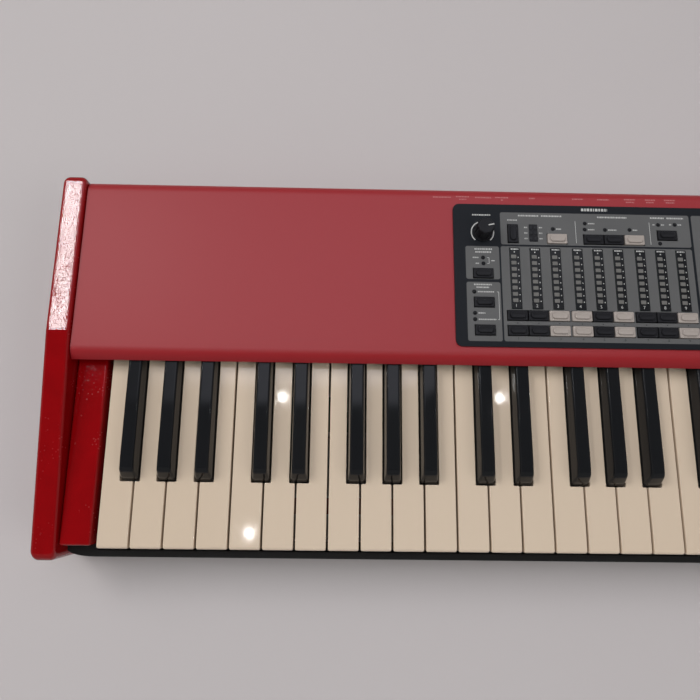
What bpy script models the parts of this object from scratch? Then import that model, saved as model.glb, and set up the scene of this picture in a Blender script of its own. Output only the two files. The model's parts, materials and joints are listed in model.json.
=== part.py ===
"""A 73-key stage piano: steel case, end cheeks, hinged keys on a chassis, control panel and rear sockets.

The frame is +X to the player's right, -Y to the player and +Z up. The origin is the centre of the case's
footprint, on the surface that the rubber feet stand on. Sizes are in millimetres until a mesh becomes an object.
"""

import math

import bmesh
import bpy
import numpy as np
from mathutils import Matrix, Vector

MM = 0.001
GAP = 0.3  # what touching pieces keep between them

# Keyboard
WHITE_PITCH = 23.5
WHITE_COUNT = 43
KEY_GAP = 1.0
KEY_LENGTH = 219.5
KEY_TOP_Z = 66.0
KEY_DEPTH = 18.0
KEY_WALL = 1.8
KEY_TOP_WALL = 2.2
KEY_TRAVEL = 10.0
KEY_FRONT_RADIUS = 2.5
CONTACT_Y = 100.0
POCKET_END_Y = 96.0
HINGE_Y = 210.0
HINGE_BELOW_TOP = 12.0
ROD_RADIUS = 2.0
BLACK_FRONT_Y = 48.0
BLACK_SLOT = 14.5
BLACK_WIDTH = 13.1
BLACK_TOP_WIDTH = 9.6
BLACK_HEIGHT = 11.3
BLACK_SETBACK = 6.1
BLACK_TOP_FALL = 1.5
BLACK_CAP_END_Y = 150.0
BLACK_SHANK_DROP = 2.0
BLACK_TAIL_SHORT = 3.0
COMB_STRIP_WIDTH = 4.0
COMB_STRIP_OVERLAP = 1.0
COMB_BRIDGE_LIFT = 1.5

# Where the black keys sit in an octave, in white-key pitches from the left edge of its C
BLACK_PLACES = {1: 0.916, 3: 2.10, 6: 3.87, 8: 5.0, 10: 6.15}
WHITE_STEPS = (0, 2, 4, 5, 7, 9, 11)
NOTE_NAMES = ("C", "Cs", "D", "Ds", "E", "F", "Fs", "G", "Gs", "A", "As", "B")
FIRST_STEP = 5
KEY_COUNT = 73
SINGLE_KEYS = 24
COMB_KEYS = 24

# Case
CHEEK_THICKNESS = 17.5
CHEEK_FRONT_HEIGHT = 70.0
CHEEK_REAR_HEIGHT = 86.5
CHEEK_CREASE_Y = 19.5
CHEEK_NOSE_RADIUS = 6.5
CHEEK_REAR_RADIUS = 5.0
CHEEK_EDGE = 2.0
BLOCK_WIDTH = 22.5
BLOCK_TOP_Z = 67.0
BLOCK_KEY_GAP = 3.2
BLOCK_SETBACK = 2.0
DEPTH = 286.0
FOOT_HEIGHT = 8.0
FOOT_RADIUS = 13.0
KEY_SETBACK = 8.5
SHEET = 1.5
TRAY_LIP_Z = 50.0
TRAY_LIP_FLANGE = 4.8
TRAY_SIDE_FLANGE = 21.5
TRAY_REAR_Z = 11.0  # a low edge behind the cover, clear of the sockets
TRAY_PAN = (880.0, 256.0, 0.5)  # the floor is pressed down between the feet
TRAY_CORNER = (20.0, 5.0)
LIP_AHEAD = 7.3
COVER_TOP_Z = 83.0
COVER_FLAT_START = 144.0
COVER_ROLL_RADIUS = 12.5
COVER_ROLL_ANGLE = 45.0
COVER_LIP = 1.5
COVER_REAR_INSET = 2.0
COVER_REAR_RADIUS = 6.0
COVER_REAR_BOTTOM_Z = 8.5

# Control panel
PANEL_LEFT = -248.0
PANEL_RIGHT = 480.0
PANEL_FRONT = 12.6
PANEL_BACK = 126.0
PANEL_THICKNESS = 1.0
PANEL_CORNER = 5.0
PANEL_OVERLAP = 4.6
BOARD_Z = 73.0
BOARD_THICKNESS = 1.6
BUTTON = (15.0, 7.8)
BUTTON_PAD = (12.2, 5.4)
BUTTON_FLANGE_UP = 1.2
BUTTON_PAD_UP = 2.4
BUTTON_CLEARANCE = 0.4
BUTTON_WEB_Z = 79.2
BUTTON_WEB_LIFT = 0.3
BUTTON_WEB = (3.0, 1.2)
COLUMN_START = -201.5
COLUMN_PITCH = 15.7
TRIPLE_GAP = 1.2
DRAWBARS = 9
DRAWBAR_SLOT = (7.5, 48.4)
DRAWBAR_SLOT_Y = 66.2
UPPER_ROW_Y = 36.8
LOWER_ROW_Y = 25.2

# Each knob's x, y and the direction its pointer shows at rest, in degrees from +X
KNOB_PLACES = {"level_knob": (-225.5, 102.7, 12.0), "effect_knob": (238.0, 102.7, 90.0),
               "drive_knob": (330.0, 102.7, 90.0), "tone_knob": (422.0, 102.7, 90.0)}
KNOB_RADIUS = 6.9
KNOB_RIB_DEPTH = 0.6
KNOB_RIBS = 9
KNOB_SKIRT_RADIUS = 7.6
KNOB_SKIRT = 1.2
KNOB_HEIGHT = 12.5
KNOB_LIFT = 0.6
KNOB_POINTER = (4.3, 1.0, 0.4)
SHAFT_RADIUS = 3.0
SHAFT_CLEARANCE = 0.8
POT = (12.0, 6.0)
DISPLAY = (118.0, 96.0, 58.0, 24.0)
BOARD_POST = 6.0
BOARD_POST_Y = 58.0
BOARD_POSTS_X = (-58.0, 60.0, 200.0, 300.0, 400.0)

# Rear sockets
JACK_X = {"phones": -256.0, "out_left": -239.0, "out_right": -223.0, "pedal_a": -108.5, "pedal_b": -92.0,
          "pedal_c": -75.5}
MONITOR_X = -208.0
USB_X = -184.0
MIDI_X = (-149.0, -129.0)
SOCKET_Z = 37.0
JACK_BODY = (13.0, 26.0, 14.0)
SOCKET_SINK = 0.4
JACK_FERRULE = 4.7
JACK_BORE = 3.2
JACK_DEPTH = 26.0
MONITOR_BODY = (10.0, 12.0)
MONITOR_FERRULE = 3.2
MONITOR_BORE = 1.8
MIDI_RADIUS = 8.6
MIDI_GROOVE = (5.2, 6.9, 8.0)
USB_BODY = (12.0, 11.0, 14.0)
USB_MOUTH = (8.8, 8.0, 10.0)
USB_TONGUE = (5.6, 3.2, 1.5)
INLET_X = 352.0
INLET_WINDOW = (26.0, 12.0)
INLET_FLANGE = (3.0, 1.5)
INLET_DEPTH = 24.0
INLET_SHIFT = -11.0
INLET_RECESS = (24.6, 16.5, 17.0)
INLET_CORNER = 4.0
INLET_PIN = (2.0, 4.0)
INLET_PINS = ((-7.0, 1.0), (0.0, 4.0), (7.0, 1.0))
ROCKER_SHIFT = 15.0
ROCKER_PIVOT = 6.0
ROCKER_POCKET = 12.0
ROCKER_BELLY = 3.0
ROCKER = (18.0, 11.0)
ROCKER_SWING = 12.0
ROCKER_FACE = 5.0
ROCKER_DISH = 0.6
ROCKER_ROOM = 1.4

# Key action
FRONT_FLANGE_Y = 5.0
FRONT_FLANGE_Z = 33.0
POST_Y = (13.5, 18.0)
POST_WIDTH = 8.0
POST_TOP_Z = 50.0
STOP_RAIL_Y = (22.0, 38.0)
FELT_INSET = 2.0
FELT_THICKNESS = 2.0
SHELF_Y = (84.0, 118.0)
SHELF_Z = 30.0
REAR_FLANGE_Y = 222.0
HINGE_WEB = 2.0
CONTACT_BOARD_INSET = 3.0
CONTACT_RIDGE = 10.0

# Electronics
MAIN_BOARD = (-262.0, -62.0, 92.0, 108.0)
MAIN_BOARD_LIFT = 6.0
MAIN_BOARD_LEG = 6.0
CHIP = (16.0, 9.0, 3.0)
CHIPS_X = (-230.0, -190.0, -140.0, -100.0)
SUPPLY_X = 436.0
SUPPLY_Y = (92.0, 134.0)
SUPPLY_PLATE = (84.0, 2.0)
TRANSFORMER = (-35.0, -3.0, 34.0)
CAPACITOR = (7.0, 26.0)
CAPACITORS = (10.0, 28.0)
VENT = (30.0, 3.0)
VENTS = 9
VENT_PITCH = 8.0

FIELD = WHITE_PITCH * WHITE_COUNT
HALF_FIELD = FIELD / 2
BLOCK_INNER_X = HALF_FIELD + BLOCK_KEY_GAP
BLOCK_OUTER_X = BLOCK_INNER_X + BLOCK_WIDTH
CHEEK_INNER_X = BLOCK_OUTER_X + GAP
CASE_X = CHEEK_INNER_X - GAP
FRONT_Y = -DEPTH / 2
KEY_FRONT_Y = FRONT_Y + KEY_SETBACK
LIP_Y = KEY_FRONT_Y - LIP_AHEAD
HINGE_Z = KEY_TOP_Z - HINGE_BELOW_TOP
COVER_REAR_Y = DEPTH / 2 - COVER_REAR_INSET
REAR_INNER_Y = COVER_REAR_Y - SHEET
PANEL_TOP_Z = COVER_TOP_Z + GAP + PANEL_THICKNESS
TRAY_FLOOR_Z = FOOT_HEIGHT + SHEET


def clear_scene():
    for item in list(bpy.data.objects):
        bpy.data.objects.remove(item)


def finish(name, color, roughness, metallic=0.0):
    made = bpy.data.materials.new(name)
    made.use_nodes = True
    shader = made.node_tree.nodes["Principled BSDF"]
    shader.inputs["Base Color"].default_value = (*color, 1.0)
    shader.inputs["Roughness"].default_value = roughness
    shader.inputs["Metallic"].default_value = metallic
    return made


def mesh_of(points, faces):
    mesh = bpy.data.meshes.new("shape")
    mesh.from_pydata([tuple(map(float, p)) for p in points], [], faces)
    mesh.update()
    return mesh


def loft(rings):
    """Closed solid through rings of points, each ring running counter-clockwise seen from its far end."""
    size = len(rings[0])
    points = [p for ring in rings for p in ring]
    faces = [tuple(reversed(range(size)))]
    for level in range(len(rings) - 1):
        low = level * size
        for i in range(size):
            j = (i + 1) % size
            faces.append((low + i, low + j, low + size + j, low + size + i))
    last = (len(rings) - 1) * size
    faces.append(tuple(range(last, last + size)))
    return mesh_of(points, faces)


def prism(outline, low, high):
    """Upright prism over an outline of (x, y) points that run counter-clockwise."""
    return loft([[(x, y, z) for x, y in outline] for z in (low, high)])


def bar(profile, low, high):
    """Prism along X over a profile of (y, z) points that run counter-clockwise."""
    return loft([[(x, y, z) for y, z in profile] for x in (low, high)])


def rectangle(x0, x1, y0, y1):
    return [(x0, y0), (x1, y0), (x1, y1), (x0, y1)]


def box(x0, x1, y0, y1, z0, z1):
    return prism(rectangle(x0, x1, y0, y1), z0, z1)


def arc(center, radii, start, stop, steps):
    """Points on an ellipse's arc from one angle to another, in degrees."""
    angles = np.radians(np.linspace(start, stop, steps + 1))
    return [(center[0] + radii[0] * math.cos(a), center[1] + radii[1] * math.sin(a)) for a in angles]


def circle(center, radius, steps):
    return arc(center, (radius, radius), 0, 360 * (1 - 1 / steps), steps - 1)


def rounded_rectangle(x0, x1, y0, y1, radius, steps):
    corners = [((x1 - radius, y0 + radius), -90), ((x1 - radius, y1 - radius), 0),
               ((x0 + radius, y1 - radius), 90), ((x0 + radius, y0 + radius), 180)]
    return [p for center, start in corners for p in arc(center, (radius, radius), start, start + 90, steps)]


def tube_y(center, radius, y0, y1, steps):
    """Round bar along Y about a centre (x, z)."""
    ring = circle(center, radius, steps)
    return loft([[(x, y, z) for x, z in ring] for y in (y1, y0)])


def folded(path, thickness):
    """Outline of a folded sheet: the path is its left-hand face and the sheet lies to the right of it."""
    points = [Vector(p) for p in path]
    other = []
    for i, point in enumerate(points):
        before = (point - points[i - 1]).normalized() if i else None
        after = (points[i + 1] - point).normalized() if i + 1 < len(points) else None
        sides = [Vector((d.y, -d.x)) for d in (before, after) if d]
        middle = sum(sides, Vector((0, 0))).normalized()
        other.append(point + middle * thickness / middle.dot(sides[0]))
    return [tuple(p) for p in other] + [tuple(p) for p in reversed(points)]


def joined(meshes):
    whole = bmesh.new()
    for mesh in meshes:
        whole.from_mesh(mesh)
    result = bpy.data.meshes.new("joined")
    whole.to_mesh(result)
    whole.free()
    return result


def shifted(mesh, x=0.0, y=0.0, z=0.0):
    moved = mesh.copy()
    moved.transform(Matrix.Translation((x, y, z)))
    return moved


def flipped_x(mesh):
    """The same solid seen in a mirror across X."""
    flipped = mesh.copy()
    flipped.transform(Matrix.Scale(-1, 4, (1, 0, 0)))
    flipped.flip_normals()
    return flipped


def boolean(body, tools, operation):
    """The body with its tools joined to it or cut from it. The tools of one call lie clear of each other."""
    holder = bpy.data.objects.new("holder", body)
    tool = bpy.data.objects.new("tool", joined(tools))
    for item in (holder, tool):
        bpy.context.scene.collection.objects.link(item)
    change = holder.modifiers.new("change", "BOOLEAN")
    change.operation = operation
    change.solver = "EXACT"
    change.object = tool
    graph = bpy.context.evaluated_depsgraph_get()
    result = bpy.data.meshes.new_from_object(holder.evaluated_get(graph))
    for item in (holder, tool):
        bpy.data.objects.remove(item)
    return result


def cut(body, *tools):
    return boolean(body, tools, "DIFFERENCE")


def united(body, *tools):
    return boolean(body, tools, "UNION")


def softened(mesh, width, segments, chosen):
    """Bevels the edges whose end points pass the test chosen(a, b)."""
    shape = bmesh.new()
    shape.from_mesh(mesh)
    edges = [e for e in shape.edges if chosen(*[v.co for v in e.verts])]
    bmesh.ops.bevel(shape, geom=edges, offset=width, segments=segments, profile=0.5, affect="EDGES")
    shape.to_mesh(mesh)
    shape.free()
    return mesh


def piece(name, mesh, made_of, origin=(0.0, 0.0, 0.0)):
    """A sub-part in metres, with its own origin at the given point of the frame."""
    mesh = mesh.copy()
    mesh.transform(Matrix.Translation([-v for v in origin]))
    mesh.transform(Matrix.Scale(MM, 4))
    mesh.name = name
    mesh.materials.clear()
    mesh.materials.append(made_of)
    mesh.shade_smooth()
    mesh.set_sharp_from_angle(angle=math.radians(35))
    made = bpy.data.objects.new(name, mesh)
    made.location = [v * MM for v in origin]
    bpy.context.scene.collection.objects.link(made)
    return made


# Keys: a key's own frame has X from the left edge of its slot, Y back from the white fronts, Z up from the white tops


def white_outline(left, right, inset, start, end):
    """Outline of a white key between two depths, narrower behind the notches beside the black keys."""
    x0 = KEY_GAP / 2 + inset
    x1 = WHITE_PITCH - KEY_GAP / 2 - inset
    shoulder = BLACK_FRONT_Y - KEY_GAP - inset
    points = [(x0, start), (x1, start)]
    if right < WHITE_PITCH:
        points += [(x1, shoulder), (right - inset, shoulder), (right - inset, end)]
    else:
        points.append((x1, end))
    if left > 0:
        points += [(left + inset, end), (left + inset, shoulder), (x0, shoulder)]
    else:
        points.append((x0, end))
    return points


def hinge_groove(x0, x1):
    """The slot under a key's tail that rides on the hinge rod."""
    reach = ROD_RADIUS + GAP
    profile = [(HINGE_Y - reach, -KEY_DEPTH - 1), (HINGE_Y + reach, -KEY_DEPTH - 1)]
    profile += arc((HINGE_Y, -HINGE_BELOW_TOP), (reach, reach), 0, 180, 4)
    return bar(profile, x0 - 1, x1 + 1)


def tail_edges(step):
    """Left and right X of a white key's narrow tail in its slot. An edge with no black key keeps the slot's."""
    low_edge = WHITE_STEPS.index(step)
    left, right = 0.0, WHITE_PITCH
    for place in BLACK_PLACES.values():
        center = (place - low_edge) * WHITE_PITCH
        if 0 < center + BLACK_SLOT / 2 < WHITE_PITCH / 2:
            left = center + BLACK_SLOT / 2
        if WHITE_PITCH / 2 < center - BLACK_SLOT / 2 < WHITE_PITCH:
            right = center - BLACK_SLOT / 2
    return left, right


def white_key_mesh(left, right):
    """White key, hollow from below in front of the solid tail that presses its contact."""
    body = prism(white_outline(left, right, 0.0, 0.0, KEY_LENGTH), -KEY_DEPTH, 0.0)
    softened(body, KEY_FRONT_RADIUS, 3, lambda a, b: max(a.y, b.y) < 0.01 and min(a.z, b.z) > -0.01)
    pocket = prism(white_outline(left, right, KEY_WALL, KEY_TOP_WALL, POCKET_END_Y), -KEY_DEPTH - 1, -KEY_TOP_WALL)
    return cut(body, pocket, hinge_groove(0.0, WHITE_PITCH))


def black_key_mesh():
    """Black key about X = 0: a tapered cap in front and a lower tail under the cover."""
    def ring(half, front, z_front, z_back):
        corner = 1.2
        return [(-half + corner, front, z_front), (half - corner, front, z_front),
                (half, front + corner, z_front), (half, BLACK_CAP_END_Y, z_back),
                (-half, BLACK_CAP_END_Y, z_back), (-half, front + corner, z_front)]

    half = BLACK_WIDTH / 2
    top_half = BLACK_TOP_WIDTH / 2
    edge = 1.0
    back_z = BLACK_HEIGHT - BLACK_TOP_FALL
    top_front = BLACK_FRONT_Y + BLACK_SETBACK
    cap = loft([
        ring(half, BLACK_FRONT_Y, -BLACK_SHANK_DROP - 1, -BLACK_SHANK_DROP - 1),
        ring(half, BLACK_FRONT_Y, 0.0, 0.0),
        ring(top_half + edge / 2, top_front - edge, BLACK_HEIGHT - edge, back_z - edge),
        ring(top_half - edge / 2, top_front + edge / 2, BLACK_HEIGHT, back_z),
    ])
    shank = box(-half, half, BLACK_FRONT_Y + edge, KEY_LENGTH - BLACK_TAIL_SHORT, -KEY_DEPTH, -BLACK_SHANK_DROP)
    pocket_x = half - KEY_WALL
    ceiling = -BLACK_SHANK_DROP - KEY_TOP_WALL
    pocket = box(-pocket_x, pocket_x, BLACK_FRONT_Y + edge + KEY_WALL, POCKET_END_Y, -KEY_DEPTH - 1, ceiling)
    return cut(united(shank, cap), pocket, hinge_groove(-half, half))


def keyboard_layout():
    """For each key: its name, whether it is black, its step in the octave and the X of its slot or centre."""
    keys = []
    whites = 0
    octave_left = -WHITE_STEPS.index(FIRST_STEP)
    for index in range(KEY_COUNT):
        step = (FIRST_STEP + index) % 12
        octave = 1 + (FIRST_STEP + index) // 12
        if step == 0:
            octave_left = whites
        black = step in BLACK_PLACES
        if black:
            x = (octave_left + BLACK_PLACES[step]) * WHITE_PITCH - HALF_FIELD
        else:
            x = whites * WHITE_PITCH - HALF_FIELD
            whites += 1
        keys.append((f"key_{NOTE_NAMES[step]}{octave}", black, step, x, index == KEY_COUNT - 1))
    return keys


def build_keys(ivory, ebony):
    keys = keyboard_layout()
    black = black_key_mesh()
    shapes = {}
    for step in WHITE_STEPS:
        shapes[step] = white_key_mesh(*tail_edges(step))
    first_left, first_right = tail_edges(FIRST_STEP)
    last = white_key_mesh(first_left, WHITE_PITCH)
    hinge = (0.0, KEY_FRONT_Y + HINGE_Y, HINGE_Z)

    def placed(key):
        shape = black if key[1] else (last if key[4] else shapes[key[2]])
        return shifted(shape, key[3], KEY_FRONT_Y, KEY_TOP_Z)

    for key in keys[:SINGLE_KEYS]:
        piece(key[0], placed(key), ebony if key[1] else ivory, (key[3], hinge[1], hinge[2]))
    groups = {"middle": keys[SINGLE_KEYS:SINGLE_KEYS + COMB_KEYS], "top": keys[SINGLE_KEYS + COMB_KEYS:]}
    for group, members in groups.items():
        whites = [k for k in members if not k[1]]
        blacks = [k for k in members if k[1]]
        rear = KEY_FRONT_Y + KEY_LENGTH
        strip = box(tail_span(whites[0])[0], tail_span(whites[-1])[1], rear - COMB_STRIP_OVERLAP,
                    rear + COMB_STRIP_WIDTH, KEY_TOP_Z - KEY_DEPTH / 2, KEY_TOP_Z - KEY_DEPTH / 4)
        piece(f"white_keys_{group}", united(strip, *map(placed, whites)), ivory, hinge)
        tail_top = KEY_TOP_Z - BLACK_SHANK_DROP
        bridge_z = KEY_TOP_Z + COMB_BRIDGE_LIFT
        bridge = box(blacks[0][3], blacks[-1][3], rear - COMB_STRIP_WIDTH - BLACK_TAIL_SHORT,
                     rear - BLACK_TAIL_SHORT, bridge_z, bridge_z + 2.5)
        feet = [box(k[3] - 4, k[3] + 4, rear - COMB_STRIP_WIDTH - BLACK_TAIL_SHORT + 1, rear - BLACK_TAIL_SHORT - 1,
                    tail_top - 1, bridge_z + 1) for k in blacks]
        piece(f"black_keys_{group}", united(united(bridge, *feet), *map(placed, blacks)), ebony, hinge)


def tail_span(key):
    """Left and right X of a white key's tail, a little inside its walls."""
    left, right = tail_edges(key[2])
    if key[4]:
        right = WHITE_PITCH
    return key[3] + max(left, KEY_GAP / 2) + KEY_WALL, key[3] + min(right, WHITE_PITCH - KEY_GAP / 2) - KEY_WALL


# Case


def cheek_profile():
    """Side outline of a cheek in (y, z): level at the rear, a crease, then a straight fall to a round nose."""
    back = DEPTH / 2
    low = FOOT_HEIGHT
    nose = CHEEK_NOSE_RADIUS
    points = [(FRONT_Y, low), (back, low)]
    points += arc((back - CHEEK_REAR_RADIUS, CHEEK_REAR_HEIGHT - CHEEK_REAR_RADIUS),
                  (CHEEK_REAR_RADIUS, CHEEK_REAR_RADIUS), 0, 90, 4)
    points.append((CHEEK_CREASE_Y, CHEEK_REAR_HEIGHT))
    points += arc((FRONT_Y + nose, CHEEK_FRONT_HEIGHT - nose), (nose, nose), 96, 180, 5)
    return points


def build_cheeks(lacquer):
    right = bar(cheek_profile(), CHEEK_INNER_X, CHEEK_INNER_X + CHEEK_THICKNESS)
    softened(right, CHEEK_EDGE, 2, lambda a, b: abs(a.x - b.x) < 0.01)
    piece("right_cheek", right, lacquer)
    piece("left_cheek", flipped_x(right), lacquer)


def build_key_blocks(lacquer):
    back = KEY_FRONT_Y + COVER_FLAT_START
    block = box(BLOCK_INNER_X, BLOCK_OUTER_X - GAP, KEY_FRONT_Y + BLOCK_SETBACK, back, TRAY_LIP_Z + GAP, BLOCK_TOP_Z)
    softened(block, 1.5, 2, lambda a, b: a.z > BLOCK_TOP_Z - 0.1 and b.z > BLOCK_TOP_Z - 0.1)
    piece("right_key_block", block, lacquer)
    piece("left_key_block", flipped_x(block), lacquer)


def tray_outline(inset):
    """Plan of the tray with its two front corners drawn back along a flat ellipse."""
    x = CASE_X - inset
    y0 = LIP_Y + inset
    y1 = REAR_INNER_Y - GAP - inset
    wide, deep = TRAY_CORNER
    right = arc((x - wide, y0 + deep), (wide, deep), -90, 0, 7)
    left = [(-px, py) for px, py in reversed(right)]
    return left + right + [(x, y1), (-x, y1)]


def build_tray(black_steel):
    wide, deep, drop = TRAY_PAN
    pan = box(-wide / 2, wide / 2, -deep / 2, deep / 2, FOOT_HEIGHT - drop, FOOT_HEIGHT + SHEET / 2)
    shell = united(prism(tray_outline(0.0), FOOT_HEIGHT, TRAY_LIP_Z), pan)
    inside = prism(tray_outline(SHEET), TRAY_FLOOR_Z, TRAY_LIP_Z - SHEET)
    mouth_x = CASE_X - TRAY_SIDE_FLANGE
    mouth = box(-mouth_x, mouth_x, LIP_Y + TRAY_LIP_FLANGE, DEPTH, TRAY_LIP_Z - SHEET - 1, TRAY_LIP_Z + 1)
    rear = box(-mouth_x, mouth_x, REAR_INNER_Y - SHEET - 10, DEPTH, TRAY_REAR_Z, TRAY_LIP_Z + 2)
    long, slit = VENT
    vents = []
    for i in range(VENTS):
        x = SUPPLY_X - SUPPLY_PLATE[0] / 2 - VENT_PITCH * (i + 2)
        vents.append(box(x - slit / 2, x + slit / 2, SUPPLY_Y[0], SUPPLY_Y[0] + long, 0.0, TRAY_FLOOR_Z + 1))
    piece("bottom_tray", cut(cut(cut(cut(shell, inside), mouth), rear), *vents), black_steel)


def cover_profile():
    """Side outline of the folded cover: front roll, flat top, rear bend and rear wall."""
    flat_y = KEY_FRONT_Y + COVER_FLAT_START
    roll = COVER_ROLL_RADIUS
    turn = 90 + COVER_ROLL_ANGLE
    front = arc((flat_y, COVER_TOP_Z - roll), (roll, roll), turn, 90, 4)
    slope = math.radians(COVER_ROLL_ANGLE)
    lip = (front[0][0] - COVER_LIP * math.cos(slope), front[0][1] - COVER_LIP * math.sin(slope))
    bend = COVER_REAR_RADIUS
    rear = arc((COVER_REAR_Y - bend, COVER_TOP_Z - bend), (bend, bend), 90, 0, 4)
    return folded([lip] + front + rear + [(COVER_REAR_Y, COVER_REAR_BOTTOM_Z)], SHEET)


def socket_window():
    return min(JACK_X.values()) - 9, max(JACK_X.values()) + 9, SOCKET_Z - 10, SOCKET_Z + 10


def inlet_window():
    wide, high = INLET_WINDOW
    return INLET_X - wide, INLET_X + wide, SOCKET_Z - high, SOCKET_Z + high


def build_cover(red_steel):
    sheet = bar(cover_profile(), -CASE_X + GAP, CASE_X - GAP)
    opening = box(PANEL_LEFT + PANEL_OVERLAP, PANEL_RIGHT - PANEL_OVERLAP, PANEL_FRONT + PANEL_OVERLAP,
                  PANEL_BACK - PANEL_OVERLAP, COVER_TOP_Z - SHEET * 2, COVER_TOP_Z + 1)
    windows = [box(x0, x1, REAR_INNER_Y - 1, COVER_REAR_Y + 1, z0, z1)
               for x0, x1, z0, z1 in (socket_window(), inlet_window())]
    piece("top_cover", cut(sheet, opening, *windows), red_steel)


def build_feet(rubber):
    """Turned rubber feet, wider at the case, with a shallow screw recess underneath."""
    profile = [(FOOT_RADIUS, FOOT_HEIGHT - GAP), (FOOT_RADIUS - 1.8, 0.0), (4.0, 0.0), (4.0, 2.5)]
    steps = 12
    for name, x, y in (("foot_front_left", -1, -1), ("foot_front_right", 1, -1),
                       ("foot_back_left", -1, 1), ("foot_back_right", 1, 1)):
        rings = [[(px, py, z) for px, py in circle((0, 0), r, steps)] for r, z in reversed(profile)]
        foot = loft(rings)
        center = (x * (CASE_X - 45), y * (DEPTH / 2 - 35), 0.0)
        piece(name, shifted(foot, *center), rubber, center)


# Key action


def contact_spans():
    """Left and right X of the rubber contact strips, one for each octave of twelve keys and the last for the rest."""
    edges = [key[3] for key in keyboard_layout() if key[2] == FIRST_STEP]
    return [(left + 1, right - 1) for left, right in zip(edges[:-2] + [edges[-2]], edges[1:-1] + [HALF_FIELD])]


def build_action(steel, rod_steel, felt, board_green):
    """Folded chassis with hinge web and guide posts, hinge rod, stop felt and contact board."""
    base = TRAY_FLOOR_Z + GAP
    y0 = KEY_FRONT_Y
    key_low = KEY_TOP_Z - KEY_DEPTH
    rail_front, rail_back = STOP_RAIL_Y
    felt_top = key_low - KEY_TRAVEL * (HINGE_Y - rail_front - FELT_INSET) / HINGE_Y - GAP
    rail_z = felt_top - FELT_THICKNESS - GAP
    shelf_front, shelf_back = SHELF_Y
    floor = base + SHEET
    path = [(FRONT_FLANGE_Y, FRONT_FLANGE_Z), (FRONT_FLANGE_Y, floor), (rail_front, floor), (rail_front, rail_z),
            (rail_back, rail_z), (rail_back, floor), (shelf_front, floor), (shelf_front, SHELF_Z),
            (shelf_back, SHELF_Z), (shelf_back, floor), (REAR_FLANGE_Y, floor), (REAR_FLANGE_Y, SHELF_Z)]
    sheet = bar(folded([(y0 + y, z) for y, z in path], SHEET), -HALF_FIELD, HALF_FIELD)
    rooted = base + SHEET / 3
    web = box(-HALF_FIELD + 1, HALF_FIELD - 1, y0 + HINGE_Y - HINGE_WEB / 2, y0 + HINGE_Y + HINGE_WEB / 2, rooted,
              HINGE_Z - ROD_RADIUS - GAP)
    posts = []
    for i in range(WHITE_COUNT):
        x = (i + 0.5) * WHITE_PITCH - HALF_FIELD
        posts.append(box(x - POST_WIDTH / 2, x + POST_WIDTH / 2, y0 + POST_Y[0], y0 + POST_Y[1], rooted, POST_TOP_Z))
    piece("key_chassis", united(sheet, web, *posts), steel)
    ring = circle((y0 + HINGE_Y, HINGE_Z), ROD_RADIUS, 12)
    piece("hinge_rod", bar(ring, -HALF_FIELD, HALF_FIELD), rod_steel)
    x = HALF_FIELD - FELT_INSET
    piece("stop_felt", box(-x, x, y0 + rail_front + FELT_INSET, y0 + rail_back - FELT_INSET, rail_z + GAP, felt_top),
          felt)
    board_low = SHELF_Z + GAP
    board_top = board_low + BOARD_THICKNESS
    board = box(-x, x, y0 + shelf_front + CONTACT_BOARD_INSET, y0 + shelf_back - CONTACT_BOARD_INSET, board_low,
                board_top)
    ridge_top = key_low - KEY_TRAVEL * (HINGE_Y - CONTACT_Y) / HINGE_Y - GAP - 0.1
    ridges = []
    for left, right in contact_spans():
        rings = []
        for inset, z in ((1.0, board_top - 0.5), (3.0, ridge_top)):
            reach = CONTACT_RIDGE / 2 - inset
            plan = rectangle(left + inset, right - inset, y0 + CONTACT_Y - reach, y0 + CONTACT_Y + reach)
            rings.append([(px, py, z) for px, py in plan])
        ridges.append(loft(rings))
    piece("contact_board", united(board, *ridges), board_green)


# Controls


def column_x(index):
    return COLUMN_START + index * COLUMN_PITCH + (index // 3) * TRIPLE_GAP


def button_layout():
    """For each moving strip: its travel centre and its caps as (x, y, width, depth)."""
    wide, deep = BUTTON
    rows = {
        "drawbar_buttons_upper": [(column_x(i), UPPER_ROW_Y, wide, deep) for i in range(DRAWBARS)],
        "drawbar_buttons_lower": [(column_x(i), LOWER_ROW_Y, wide, deep) for i in range(DRAWBARS)],
        "effect_row_buttons": [(x, 98.2, wide, deep) for x in (-168.1, -140.0, -124.2, -108.4)]
        + [(-82.5, 102.6, wide, deep)],
        "mode_button": [(-202.1, 102.0, deep, wide)],
        "model_button": [(-226.0, 69.5, wide, deep)],
        "rotary_buttons": [(-226.0, 46.8, wide, deep), (-226.0, 25.2, wide, deep)],
        "program_buttons": [(-30.0 + i * COLUMN_PITCH + (i // 3) * TRIPLE_GAP, UPPER_ROW_Y, wide, deep)
                            for i in range(9)],
    }
    return rows


def button_hole(cap):
    x, y, wide, deep = cap
    c = BUTTON_CLEARANCE
    return x - wide / 2 - c, x + wide / 2 + c, y - deep / 2 - c, y + deep / 2 + c


def merged_holes(caps):
    """Holes for a strip's caps: neighbours closer than twice the clearance share one hole."""
    holes = []
    for hole in sorted(map(button_hole, caps)):
        if holes and hole[0] < holes[-1][1] + 0.05 and abs(hole[2] - holes[-1][2]) < 0.01:
            holes[-1] = (holes[-1][0], hole[1], hole[2], hole[3])
        else:
            holes.append(hole)
    return holes


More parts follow.
